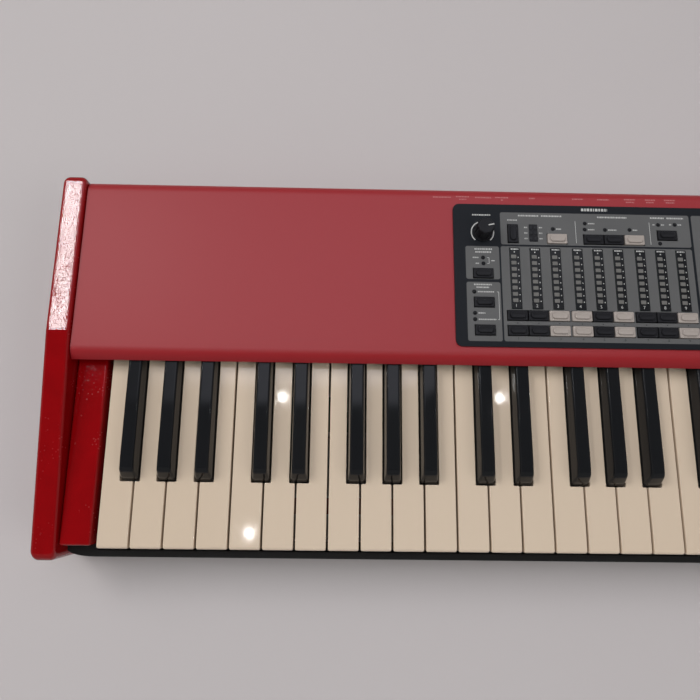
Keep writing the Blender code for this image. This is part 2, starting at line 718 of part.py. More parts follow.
def button_cap(cap):
    """Stepped keytop: a flange with a raised pad that narrows upwards."""
    x, y, wide, deep = cap
    pad_x, pad_y = (BUTTON_PAD if wide > deep else BUTTON_PAD[::-1])
    levels = ((wide, deep, BUTTON_WEB_Z), (wide, deep, PANEL_TOP_Z + BUTTON_FLANGE_UP),
              (pad_x, pad_y, PANEL_TOP_Z + BUTTON_FLANGE_UP + 0.01),
              (pad_x - 1.0, pad_y - 1.0, PANEL_TOP_Z + BUTTON_PAD_UP))
    return loft([[(px, py, z) for px, py in rectangle(x - w / 2, x + w / 2, y - d / 2, y + d / 2)]
                 for w, d, z in levels])


def button_web(caps):
    """The bar under a strip that joins its caps, as wide as BUTTON_WEB where the caps stand in one line."""
    across, high = BUTTON_WEB
    xs = [cap[0] for cap in caps]
    ys = [cap[1] for cap in caps]
    side = across / 2 if max(xs) == min(xs) else 0.0
    ahead = across / 2
    low = BUTTON_WEB_Z + BUTTON_WEB_LIFT
    return box(min(xs) - side, max(xs) + side, min(ys) - ahead, max(ys) + ahead, low, low + high)


def build_buttons(dark_plastic):
    for name, caps in button_layout().items():
        meshes = [button_cap(cap) for cap in caps]
        body = united(button_web(caps), *meshes) if len(caps) > 1 else meshes[0]
        center = (sum(c[0] for c in caps) / len(caps), sum(c[1] for c in caps) / len(caps), BUTTON_WEB_Z)
        piece(name, body, dark_plastic, center)


def knob_mesh():
    """Ribbed knob about the Z axis with skirt, chamfered top, pointer ridge and shaft."""
    base = PANEL_TOP_Z + KNOB_LIFT
    top = base + KNOB_HEIGHT
    count = KNOB_RIBS * 2
    angles = [2 * math.pi * i / count for i in range(count)]
    ribbed = [KNOB_RADIUS - (KNOB_RIB_DEPTH if i % 2 else 0.0) for i in range(count)]

    def ring(radii, z):
        return [(r * math.cos(a), r * math.sin(a), z) for r, a in zip(radii, angles)]

    plain = [KNOB_SKIRT_RADIUS] * count
    shaft_low = BOARD_Z + BOARD_THICKNESS + POT[1] + GAP
    return loft([
        ring([SHAFT_RADIUS] * count, shaft_low),
        ring([SHAFT_RADIUS] * count, base),
        ring(plain, base),
        ring(plain, base + KNOB_SKIRT),
        ring(ribbed, base + KNOB_SKIRT + 0.4),
        ring([r - 0.5 for r in ribbed], top - 1.0),
        ring([KNOB_RADIUS - 2.0] * count, top),
    ])


def build_knobs(dark_plastic):
    long, wide, rise = KNOB_POINTER
    top = PANEL_TOP_Z + KNOB_LIFT + KNOB_HEIGHT
    tip = KNOB_RADIUS - KNOB_RIB_DEPTH
    pointer = box(tip - long, tip, -wide / 2, wide / 2, top - 3, top + rise)
    knob = united(knob_mesh(), pointer)
    for name, (x, y, direction) in KNOB_PLACES.items():
        turned = knob.copy()
        turned.transform(Matrix.Rotation(math.radians(direction), 4, "Z"))
        piece(name, shifted(turned, x, y), dark_plastic, (x, y, PANEL_TOP_Z))


def build_panel(black_paint, board_green):
    """The printed panel plate and, under it, the board that carries light bars, display and knob bodies."""
    low = COVER_TOP_Z + GAP
    plate = prism(rounded_rectangle(PANEL_LEFT, PANEL_RIGHT, PANEL_FRONT, PANEL_BACK, PANEL_CORNER, 4),
                  low, PANEL_TOP_Z)
    holes = [hole for caps in button_layout().values() for hole in merged_holes(caps)]
    slot_x, slot_y = DRAWBAR_SLOT
    bars = [(column_x(i) - slot_x / 2, column_x(i) + slot_x / 2, DRAWBAR_SLOT_Y - slot_y / 2,
             DRAWBAR_SLOT_Y + slot_y / 2) for i in range(DRAWBARS)]
    x, y, wide, deep = DISPLAY
    bars.append((x - wide / 2, x + wide / 2, y - deep / 2, y + deep / 2))
    tools = [box(*hole, low - 1, PANEL_TOP_Z + 1) for hole in holes]
    tools += [box(x0 - GAP, x1 + GAP, y0 - GAP, y1 + GAP, low - 1, PANEL_TOP_Z + 1) for x0, x1, y0, y1 in bars]
    tools += [prism(circle(place[:2], SHAFT_RADIUS + SHAFT_CLEARANCE, 12), low - 1, PANEL_TOP_Z + 1)
              for place in KNOB_PLACES.values()]
    piece("control_panel", cut(plate, *tools), black_paint)
    board_top = BOARD_Z + BOARD_THICKNESS
    inset = PANEL_OVERLAP + 2.0
    board = box(PANEL_LEFT + inset, PANEL_RIGHT - inset, KEY_FRONT_Y + BLACK_CAP_END_Y + 2, PANEL_BACK - inset,
                BOARD_Z, board_top)
    stand = [box(x0, x1, y0, y1, board_top - 0.5, PANEL_TOP_Z + 0.2) for x0, x1, y0, y1 in bars]
    half = POT[0] / 2
    stand += [box(px - half, px + half, py - half, py + half, board_top - 0.5, board_top + POT[1])
              for px, py, _ in KNOB_PLACES.values()]
    reach = BOARD_POST / 2
    stand += [box(px - reach, px + reach, BOARD_POST_Y - reach, BOARD_POST_Y + reach, board_top - 0.5, low - GAP)
              for px in BOARD_POSTS_X]
    piece("panel_board", united(board, *stand), board_green)


# Rear sockets and power


def build_sockets(black_plastic):
    """The socket strip: a plate behind the rear wall's window, with jack bodies, ferrules and bores."""
    x0, x1, z0, z1 = socket_window()
    back = REAR_INNER_Y - GAP
    front = back - SHEET
    outer = DEPTH / 2 - SOCKET_SINK
    low_face = outer - 0.6
    plate = box(x0 - 3, x1 + 3, front, back, TRAY_REAR_Z + GAP, z1 + 3)
    wide, deep, high = JACK_BODY
    bodies = []
    tops = []
    bores = []
    for x in JACK_X.values():
        bodies.append(box(x - wide / 2, x + wide / 2, front - deep, back - 0.5, SOCKET_Z - high / 2,
                          SOCKET_Z + high / 2))
        tops.append(tube_y((x, SOCKET_Z), JACK_FERRULE, back - 1, outer, 8))
        bores.append(tube_y((x, SOCKET_Z), JACK_BORE, outer - JACK_DEPTH, outer + 1, 8))
    wide, deep = MONITOR_BODY
    bodies.append(box(MONITOR_X - wide / 2, MONITOR_X + wide / 2, front - deep, back - 0.5, SOCKET_Z - wide / 2,
                      SOCKET_Z + wide / 2))
    tops.append(tube_y((MONITOR_X, SOCKET_Z), MONITOR_FERRULE, back - 1, outer, 8))
    bores.append(tube_y((MONITOR_X, SOCKET_Z), MONITOR_BORE, outer - deep, outer + 1, 8))
    inner, groove, deep = MIDI_GROOVE
    for x in MIDI_X:
        bodies.append(tube_y((x, SOCKET_Z), MIDI_RADIUS, front - deep, low_face, 12))
        ring = tube_y((x, SOCKET_Z), groove, outer - deep, outer + 1, 12)
        bores.append(cut(ring, tube_y((x, SOCKET_Z), inner, outer - deep - 1, outer - 0.8, 12)))
    wide, high, deep = USB_BODY
    bodies.append(box(USB_X - wide / 2, USB_X + wide / 2, front - deep, low_face, SOCKET_Z - high / 2,
                      SOCKET_Z + high / 2))
    wide, high, deep = USB_MOUTH
    mouth = box(USB_X - wide / 2, USB_X + wide / 2, outer - deep, outer + 1, SOCKET_Z - high / 2, SOCKET_Z + high / 2)
    wide, high, sunk = USB_TONGUE
    tongue = box(USB_X - wide / 2, USB_X + wide / 2, outer - deep - 1, outer - sunk, SOCKET_Z - high / 2,
                 SOCKET_Z + high / 2)
    bores.append(cut(mouth, tongue))
    strip = united(united(plate, *bodies), *tops)
    piece("socket_strip", cut(strip, *bores), black_plastic)


def inlet_recess_outline():
    """The recess in (x, z), with its two upper corners cut off as the connector's are."""
    wide, high, _ = INLET_RECESS
    x = INLET_X + INLET_SHIFT
    left, right = x - wide / 2, x + wide / 2
    low, top = SOCKET_Z - high / 2, SOCKET_Z + high / 2
    return [(left, low), (right, low), (right, top - INLET_CORNER), (right - INLET_CORNER, top),
            (left + INLET_CORNER, top), (left, top - INLET_CORNER)]


def rocker_outline(pivot_y):
    """Side of the rocker in (y, z): a dished face tilted by half its swing, over a wedge that clears the pocket."""
    half = ROCKER[0] / 2
    rise = half * math.tan(math.radians(ROCKER_SWING / 2))
    back = -1.0
    outline = [(-half, back), (0.0, back - ROCKER_BELLY), (half, back), (half, ROCKER_FACE - rise),
               (0.0, ROCKER_FACE - ROCKER_DISH), (-half, ROCKER_FACE + rise)]
    return [(pivot_y + y, SOCKET_Z + z) for z, y in reversed(outline)]


def build_inlet(black_plastic):
    """Mains inlet with its switch frame, and the rocker that tilts in it."""
    x0, x1, z0, z1 = inlet_window()
    lip, thick = INLET_FLANGE
    flange_y = COVER_REAR_Y + GAP
    mouth_y = flange_y + thick
    flange = box(x0 - lip, x1 + lip, flange_y, mouth_y, z0 - lip, z1 + lip)
    body = box(x0 + GAP, x1 - GAP, COVER_REAR_Y - INLET_DEPTH, flange_y + thick / 2, z0 + GAP, z1 - GAP)
    reach = INLET_RECESS[2]
    recess = loft([[(x, y, z) for x, z in inlet_recess_outline()] for y in (mouth_y + 1, mouth_y - reach)])
    rocker_x = INLET_X + ROCKER_SHIFT
    high, wide = ROCKER
    pocket = box(rocker_x - wide / 2 - GAP, rocker_x + wide / 2 + GAP, mouth_y - ROCKER_POCKET, mouth_y + 1,
                 SOCKET_Z - high / 2 - ROCKER_ROOM, SOCKET_Z + high / 2 + ROCKER_ROOM)
    shell = cut(united(body, flange), recess, pocket)
    pin_x, pin_z = INLET_PIN[0] / 2, INLET_PIN[1] / 2
    pins = []
    for dx, dz in INLET_PINS:
        x, z = INLET_X + INLET_SHIFT + dx, SOCKET_Z + dz
        pins.append(box(x - pin_x, x + pin_x, mouth_y - reach - 1, mouth_y - 3, z - pin_z, z + pin_z))
    piece("mains_inlet", united(shell, *pins), black_plastic)
    pivot_y = mouth_y - ROCKER_PIVOT
    rocker = bar(rocker_outline(pivot_y), rocker_x - wide / 2, rocker_x + wide / 2)
    piece("power_switch", rocker, black_plastic, (rocker_x, pivot_y, SOCKET_Z))


def build_electronics(board_green, dark_metal):
    base = TRAY_FLOOR_Z + GAP
    x0, x1, y0, y1 = MAIN_BOARD
    board_low = base + MAIN_BOARD_LIFT
    board_top = board_low + BOARD_THICKNESS
    board = box(x0, x1, y0, y1, board_low, board_top)
    leg = MAIN_BOARD_LEG / 2
    legs = [box(x - leg, x + leg, y - leg, y + leg, base, board_low + 0.5)
            for x in (x0 + 7, (x0 + x1) / 2, x1 - 7) for y in (y0 + 4, y1 - 4)]
    wide, deep, high = CHIP
    middle = (y0 + y1) / 2
    chips = [box(x - wide / 2, x + wide / 2, middle - deep / 2, middle + deep / 2, board_top - 0.5, board_top + high)
             for x in CHIPS_X]
    piece("main_board", united(board, *legs, *chips), board_green)
    y0, y1 = SUPPLY_Y
    wide, thick = SUPPLY_PLATE
    plate = box(SUPPLY_X - wide / 2, SUPPLY_X + wide / 2, y0, y1, base, base + thick)
    left, right, high = TRANSFORMER
    core = box(SUPPLY_X + left, SUPPLY_X + right, y0 + 4, y1 - 4, base + 1, base + high)
    radius, tall = CAPACITOR
    cans = [prism(circle((SUPPLY_X + dx, (y0 + y1) / 2), radius, 10), base + 1, base + tall) for dx in CAPACITORS]
    piece("power_supply", united(plate, core, *cans), dark_metal)


def main():
    clear_scene()
    lacquer = finish("red_lacquer", (0.33, 0.008, 0.012), 0.12)
    red_steel = finish("red_painted_steel", (0.24, 0.012, 0.018), 0.45)
    black_steel = finish("black_painted_steel", (0.02, 0.02, 0.022), 0.5)
    ivory = finish("white_key_plastic", (0.72, 0.64, 0.5), 0.25)
    ebony = finish("black_key_plastic", (0.015, 0.015, 0.017), 0.2)
    chassis_steel = finish("zinc_plated_steel", (0.5, 0.5, 0.48), 0.4, 1.0)
    rod_steel = finish("bright_steel", (0.6, 0.6, 0.6), 0.2, 1.0)
    felt = finish("red_felt", (0.25, 0.03, 0.03), 0.95)
    board_green = finish("circuit_board", (0.03, 0.12, 0.05), 0.5)
    panel_black = finish("panel_print", (0.012, 0.014, 0.018), 0.5)
    dark_plastic = finish("dark_plastic", (0.03, 0.03, 0.035), 0.4)
    rubber = finish("rubber", (0.02, 0.02, 0.02), 0.8)
    dark_metal = finish("dark_metal", (0.1, 0.1, 0.1), 0.5, 0.8)

    build_keys(ivory, ebony)
    build_cheeks(lacquer)
    build_key_blocks(lacquer)
    build_tray(black_steel)
    build_cover(red_steel)
    build_feet(rubber)
    build_action(chassis_steel, rod_steel, felt, board_green)
    build_panel(panel_black, board_green)
    build_buttons(dark_plastic)
    build_knobs(dark_plastic)
    build_sockets(dark_plastic)
    build_inlet(dark_plastic)
    build_electronics(board_green, dark_metal)


main()
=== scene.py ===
import json
import math

import bpy
import numpy as np
from mathutils import Matrix, Vector


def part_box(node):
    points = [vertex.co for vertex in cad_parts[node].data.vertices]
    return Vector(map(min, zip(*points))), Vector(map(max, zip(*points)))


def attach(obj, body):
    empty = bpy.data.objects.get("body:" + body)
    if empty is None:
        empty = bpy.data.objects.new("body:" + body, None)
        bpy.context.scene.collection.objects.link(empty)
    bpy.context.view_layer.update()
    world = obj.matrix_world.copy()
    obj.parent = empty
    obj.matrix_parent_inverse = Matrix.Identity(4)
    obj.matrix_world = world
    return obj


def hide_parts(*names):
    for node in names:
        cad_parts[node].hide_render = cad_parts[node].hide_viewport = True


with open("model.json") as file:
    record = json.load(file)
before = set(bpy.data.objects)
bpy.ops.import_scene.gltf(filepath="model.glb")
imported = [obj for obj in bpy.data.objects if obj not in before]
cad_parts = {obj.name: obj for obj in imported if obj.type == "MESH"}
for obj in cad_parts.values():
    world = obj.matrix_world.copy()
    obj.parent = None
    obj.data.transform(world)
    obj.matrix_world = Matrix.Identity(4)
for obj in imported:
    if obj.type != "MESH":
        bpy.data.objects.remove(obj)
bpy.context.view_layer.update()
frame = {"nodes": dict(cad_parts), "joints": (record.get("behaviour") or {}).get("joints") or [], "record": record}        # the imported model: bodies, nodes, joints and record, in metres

nodes = frame["nodes"]
bodyOf = {node: body for body, names in frame["record"]["behaviour"]["bodies"].items() for node in names}
mm = 0.001  # every size below is in millimetres
sharpAngle = math.radians(35)  # edges that turn by more than this are shown sharp


def inMm(box):
    return [np.array(corner) / mm for corner in box]


def jointPlace(node):
    return [value / mm for value in next(j for j in frame["joints"] if j["child"] == node)["pos_m"][:2]]


# Shapes. A shape is (points, faces): rows of x, y, z and lists of point numbers.

def unit(vector):
    return vector / np.linalg.norm(vector)


# Outline with rounded corners, moved inwards by inset. Each corner row is x, y, radius, counter-clockwise.
# A corner's arc turns by 180 degrees less the corner's angle, about a centre on the line that halves it.
def outlineRing(corners, inset, steps):
    plan = np.array(corners, float)
    ring = []
    for before, here, after in zip(np.roll(plan, 1, 0), plan, np.roll(plan, -1, 0)):
        back, ahead = unit(before[:2] - here[:2]), unit(after[:2] - here[:2])
        turning = ahead[1] * back[0] - ahead[0] * back[1]
        if abs(turning) < 1e-6:  # a station on a straight edge
            ring.append((here[:2] + inset * np.array((-ahead[1], ahead[0])))[None])
            continue
        side = -np.sign(turning)
        angle = math.acos(np.clip(back @ ahead, -1, 1))
        radius = max(here[2] - side * inset, 0.02)
        halving = unit(back + ahead)
        centre = here[:2] + halving * (radius + side * inset) / math.sin(angle / 2)
        start = here[:2] + halving * side * inset / math.sin(angle / 2) + back * radius / math.tan(angle / 2) - centre
        turn = side * np.linspace(0, math.pi - angle, steps + 1)[:, None]
        ring.append(centre + np.cos(turn) * start + np.sin(turn) * np.array((-start[1], start[0])))
    return np.concatenate(ring)


# Quads between rings whose first point numbers are low and high.
def ringQuads(low, high, around):
    here = np.arange(around)[None, :]
    after = (here + 1) % around
    return np.stack([low + here, low + after, high + after, high + here], -1).reshape(-1, 4).tolist()


# Rings one above another, wrapped with quads and closed at both ends by flat caps.
def ringShape(rings):
    rings = np.asarray(rings, float)
    levels, around, _ = rings.shape
    low = np.arange(levels - 1)[:, None] * around
    caps = [list(range(around))[::-1], list(range((levels - 1) * around, levels * around))]
    return rings.reshape(-1, 3), ringQuads(low, low + around, around) + caps


# A flat outline given one height.
def lifted(plan, height):
    return np.column_stack([plan, np.full(len(plan), height)])


# The outline repeated at levels of (inset, height). turn 0 stands it up along Z, 1 along X and 2 along Y.
def stackRings(corners, levels, steps=4, turn=0):
    rings = [lifted(outlineRing(corners, inset, steps), height) for inset, height in levels]
    return np.roll(np.array(rings), turn, -1)


def stackShape(corners, levels, steps=4, turn=0):
    return ringShape(stackRings(corners, levels, steps, turn))


# Quarter circle from the wall to the top as (inset, height), with one more row to keep the flat top flat.
def roundOver(radius, top, steps=4, flat=0.3):
    t = np.linspace(0, math.pi / 2, steps + 1)
    return list(zip(radius * (1 - np.cos(t)), top - radius * (1 - np.sin(t)))) + [(radius + flat, top)]


# The same quarter circle at the bottom, from the underside out to the wall.
def roundUnder(radius, low, steps=4, flat=0.3):
    return [(inset, 2 * low - height) for inset, height in reversed(roundOver(radius, low, steps, flat))]


def rectangle(x0, x1, y0, y1, radius=0.0):
    return [(x0, y0, radius), (x1, y0, radius), (x1, y1, radius), (x0, y1, radius)]


def centredRectangle(x, y, wide, deep, radius=0.0):
    return rectangle(x - wide / 2, x + wide / 2, y - deep / 2, y + deep / 2, radius)


# Block with round upright corners and a softened top and bottom edge.
def block(corners, low, top, edge, steps=3):
    return stackShape(corners, roundUnder(edge, low, steps) + roundOver(edge, top, steps), steps)


# Profile of (radius, height) turned about an axis through (x, y). turn as in stackRings.
def turned(profile, place, around=32, turn=0):
    profile = np.array(profile, float)
    angle = np.linspace(0, 2 * math.pi, around, endpoint=False)
    rings = np.empty((len(profile), around, 3))
    rings[..., 0] = place[0] + profile[:, :1] * np.cos(angle)
    rings[..., 1] = place[1] + profile[:, :1] * np.sin(angle)
    rings[..., 2] = profile[:, 1:]
    return ringShape(np.roll(rings, turn, -1))


# Rings joined into a closed loop, the last to the first: up on the outside and down on the inside.
def loopShape(rings):
    levels, around, _ = rings.shape
    low = np.arange(levels)[:, None] * around
    return rings.reshape(-1, 3), ringQuads(low, np.roll(low, -1, 0), around)


# Closed profile of (radius, height) turned about an axis: a collar.
def turnedLoop(profile, place, around=32, turn=0):
    points, _ = turned(profile, place, around, turn)
    return loopShape(points.reshape(len(profile), around, 3))


# Grid of points with some cells left out, as an open sheet.
def sheetShape(points, keep):
    rows, columns, _ = points.shape
    first = (np.arange(rows - 1)[:, None] * columns + np.arange(columns - 1))[keep]
    faces = np.stack([first, first + 1, first + columns + 1, first + columns], -1)
    used, numbers = np.unique(faces, return_inverse=True)
    return points.reshape(-1, 3)[used], numbers.reshape(-1, 4).tolist()


def moved(shape, x=0.0, y=0.0, z=0.0):
    return shape[0] + np.array((x, y, z)), shape[1]


def together(shapes):
    points, faces, count = [], [], 0
    for shapePoints, shapeFaces in shapes:
        points.append(shapePoints)
        faces += [[count + number for number in face] for face in shapeFaces]
        count += len(shapePoints)
    return np.concatenate(points), faces


# A finished piece in metres, at the origin, riding on a body and given one material.
def makePiece(name, shapes, material, body="case", replaces=()):
    points, faces = together(shapes)
    mesh = bpy.data.meshes.new(name)
    mesh.from_pydata((points * mm).tolist(), [], faces)
    mesh.materials.append(material)
    mesh.shade_smooth()
    mesh.set_sharp_from_angle(angle=sharpAngle)
    made = bpy.data.objects.new(name, mesh)
    bpy.context.scene.collection.objects.link(made)
    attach(made, body)
    if replaces:
        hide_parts(*replaces)
    return made


# Shader groups

def makeGroup(name, inputs, output):
    group = bpy.data.node_groups.new(name, "ShaderNodeTree")
    group.interface.new_socket(name="Vector", in_out="INPUT", socket_type="NodeSocketVector")
    for label, value in inputs.items():
        kind = "NodeSocketVector" if isinstance(value, tuple) else "NodeSocketFloat"
        group.interface.new_socket(name=label, in_out="INPUT", socket_type=kind).default_value = value
    group.interface.new_socket(name=output, in_out="OUTPUT", socket_type="NodeSocketFloat")
    return group, group.nodes.new("NodeGroupInput").outputs, group.nodes.new("NodeGroupOutput").inputs[output]


# A socket is fed by a number, by a row of numbers or by another node's output.
def feed(tree, socket, value):
    if isinstance(value, (int, float, tuple)):
        socket.default_value = value
    else:
        tree.links.new(value, socket)


def addMath(tree, operation, *values, kind="ShaderNodeMath"):
    node = tree.nodes.new(kind)
    node.operation = operation
    for socket, value in zip(node.inputs, values):
        feed(tree, socket, value)
    return node.outputs["Value" if operation == "LENGTH" else 0]


def addVectorMath(tree, operation, *values):
    return addMath(tree, operation, *values, kind="ShaderNodeVectorMath")


def addInverse(tree, value):
    return addMath(tree, "SUBTRACT", 1.0, value)


def addNoise(tree, vector, scale, detail=2.0, distortion=0.0):
    node = tree.nodes.new("ShaderNodeTexNoise")
    for label, value in (("Vector", vector), ("Scale", scale), ("Detail", detail), ("Distortion", distortion)):
        feed(tree, node.inputs[label], value)
    return node.outputs[0]


# Value from low to high turned into 0 to 1 with soft ends.
def addStep(tree, value, low, high):
    node = tree.nodes.new("ShaderNodeMapRange")
    node.interpolation_type = "SMOOTHSTEP"
    for label, setting in (("Value", value), ("From Min", low), ("From Max", high)):
        feed(tree, node.inputs[label], setting)
    return node.outputs["Result"]


# Two noises, the second three times finer, added as a height.
def buildGrainGroup():
    group, given, out = makeGroup("fineGrain", {"Scale": 900.0}, "Height")
    finer = addMath(group, "MULTIPLY", given["Scale"], 3.1)
    coarse = addNoise(group, given["Vector"], given["Scale"])
    fine = addNoise(group, given["Vector"], finer)
    group.links.new(addMath(group, "MULTIPLY_ADD", fine, 0.4, coarse), out)
    return group


# Large cloudy noise cut at a level: handled and faded areas.
def buildCloudGroup():
    group, given, out = makeGroup("cloudyMarks", {"Scale": 8.0, "Level": 0.55, "Softness": 0.12}, "Mask")
    cloud = addNoise(group, given["Vector"], given["Scale"], 5.0, 0.6)
    low = addMath(group, "SUBTRACT", given["Level"], given["Softness"])
    high = addMath(group, "ADD", given["Level"], given["Softness"])
    group.links.new(addStep(group, cloud, low, high), out)
    return group


# Noise stretched along two slanted directions, of which only the crests stay: hairline scratches.
def buildScratchGroup():
    group, given, out = makeGroup("hairScratches", {"Scale": 14.0, "Level": 0.68}, "Mask")
    masks = []
    for slant in (0.35, -1.1):
        mapping = group.nodes.new("ShaderNodeMapping")
        mapping.inputs["Rotation"].default_value = (0.0, 0.0, slant)
        mapping.inputs["Scale"].default_value = (1.0, 45.0, 1.0)
        group.links.new(given["Vector"], mapping.inputs["Vector"])
        lines = addNoise(group, mapping.outputs[0], given["Scale"], 1.0, 0.25)
        high = addMath(group, "ADD", given["Level"], 0.03)
        masks.append(addStep(group, lines, given["Level"], high))
    group.links.new(addMath(group, "MAXIMUM", *masks), out)
    return group


# Small round specks: the middle of random cells, a few of them kept by their cell's own noise.
def buildSpeckGroup():
    group, given, out = makeGroup("dustSpecks", {"Scale": 420.0, "Size": 0.12, "Share": 0.62}, "Mask")
    cells = group.nodes.new("ShaderNodeTexVoronoi")
    group.links.new(given["Vector"], cells.inputs["Vector"])
    group.links.new(given["Scale"], cells.inputs["Scale"])
    spot = addMath(group, "LESS_THAN", cells.outputs["Distance"], given["Size"])
    some = addMath(group, "GREATER_THAN", addNoise(group, given["Vector"], 31.0), given["Share"])
    group.links.new(addMath(group, "MULTIPLY", spot, some), out)
    return group


patchBlur = 0.00008  # metres by which a printed patch's edge is soft on each side


# 1 inside a rectangle with round corners: distance outside its inner rectangle less the radius, below zero.
def buildPatchGroup():
    inputs = {"Centre": (0.0, 0.0, 0.0), "Half Size": (0.01, 0.01, 0.0), "Radius": 0.001}
    group, given, out = makeGroup("printedPatch", inputs, "Mask")
    away = addVectorMath(group, "SUBTRACT", given["Vector"], given["Centre"])
    across = addVectorMath(group, "ABSOLUTE", away)
    past = addVectorMath(group, "SUBTRACT", across, given["Half Size"])
    rounded = group.nodes.new("ShaderNodeCombineXYZ")
    for axis in (0, 1):
        group.links.new(given["Radius"], rounded.inputs[axis])
    inner = addVectorMath(group, "ADD", past, rounded.outputs[0])
    outside = addVectorMath(group, "MAXIMUM", inner, (0.0, 0.0, 0.0))
    flat = addVectorMath(group, "MULTIPLY", outside, (1.0, 1.0, 0.0))
    distance = addMath(group, "SUBTRACT", addVectorMath(group, "LENGTH", flat), given["Radius"])
    group.links.new(addInverse(group, addStep(group, distance, -patchBlur, patchBlur)), out)
    return group


grainGroup = buildGrainGroup()
cloudGroup = buildCloudGroup()
scratchGroup = buildScratchGroup()
speckGroup = buildSpeckGroup()
patchGroup = buildPatchGroup()
print("shader groups built")


# Materials

def startMaterial(name, look):
    made = bpy.data.materials.new(name)
    made.use_nodes = True
    tree = made.node_tree
    shader = tree.nodes["Principled BSDF"]
    for label, value in look.items():
        shader.inputs[label].default_value = value
    coordinates = tree.nodes.new("ShaderNodeTexCoord").outputs["Object"]
    return made, tree, shader, coordinates


def placeGroup(tree, group, vector, **values):
    node = tree.nodes.new("ShaderNodeGroup")
    node.node_tree = group
    tree.links.new(vector, node.inputs["Vector"])
    for label, value in values.items():
        node.inputs[label.replace("_", " ")].default_value = value
    return node.outputs[0]


# Colour that goes from first to second as the mask goes from 0 to 1.
def mixColours(tree, mask, first, second):
    node = tree.nodes.new("ShaderNodeMix")
    node.data_type = "RGBA"
    tree.links.new(mask, node.inputs["Factor"])
    for socket, value in ((node.inputs[6], first), (node.inputs[7], second)):
        feed(tree, socket, (*value, 1.0) if isinstance(value, tuple) else value)
    return node.outputs[2]


def mixValues(tree, mask, low, high):
    return addMath(tree, "MULTIPLY_ADD", mask, high - low, low)


def addBump(tree, shader, height, distance):
    bump = tree.nodes.new("ShaderNodeBump")
    bump.inputs["Distance"].default_value = distance
    tree.links.new(height, bump.inputs["Height"])
    tree.links.new(bump.outputs[0], shader.inputs["Normal"])


finishColumns = ("colour", "faded", "cloudScale", "scratchScale", "scratchLevel", "speckScale", "markRoughness",
                 "roughness", "grainScale", "grainDepth", "shine")
furtherLooks = {"zinc": {"Metallic": 1.0}, "brightSteel": {"Metallic": 1.0}, "supplyMetal": {"Metallic": 0.7},
                "felt": {"Sheen Weight": 0.5}}
furtherSpecks = {"redLacquer": {"Size": 0.2, "Share": 0.55}}


# A moulded, painted or lacquered finish: cloudy colour change, hairlines and specks in the gloss, fine grain.
# Roughness is mixed from clear to cloudy by the clouds, plus what the marks add where they are.
def surfaceMaterial(name, row):
    finish = dict(zip(finishColumns, row))
    look = {"Specular IOR Level": finish["shine"], **furtherLooks.get(name, {})}
    made, tree, shader, place = startMaterial(name, look)
    cloud = placeGroup(tree, cloudGroup, place, Scale=finish["cloudScale"], Level=0.5, Softness=0.45)
    tree.links.new(mixColours(tree, cloud, finish["colour"], finish["faded"]), shader.inputs["Base Color"])
    scratches = placeGroup(tree, scratchGroup, place, Scale=finish["scratchScale"], Level=finish["scratchLevel"])
    specks = placeGroup(tree, speckGroup, place, Scale=finish["speckScale"], **furtherSpecks.get(name, {}))
    marks = addMath(tree, "MAXIMUM", scratches, specks)
    worn = mixValues(tree, marks, 0.0, finish["markRoughness"])
    tree.links.new(addMath(tree, "ADD", mixValues(tree, cloud, *finish["roughness"]), worn),
                   shader.inputs["Roughness"])
    grain = placeGroup(tree, grainGroup, place, Scale=finish["grainScale"])
    addBump(tree, shader, grain, finish["grainDepth"] * mm)
    return made


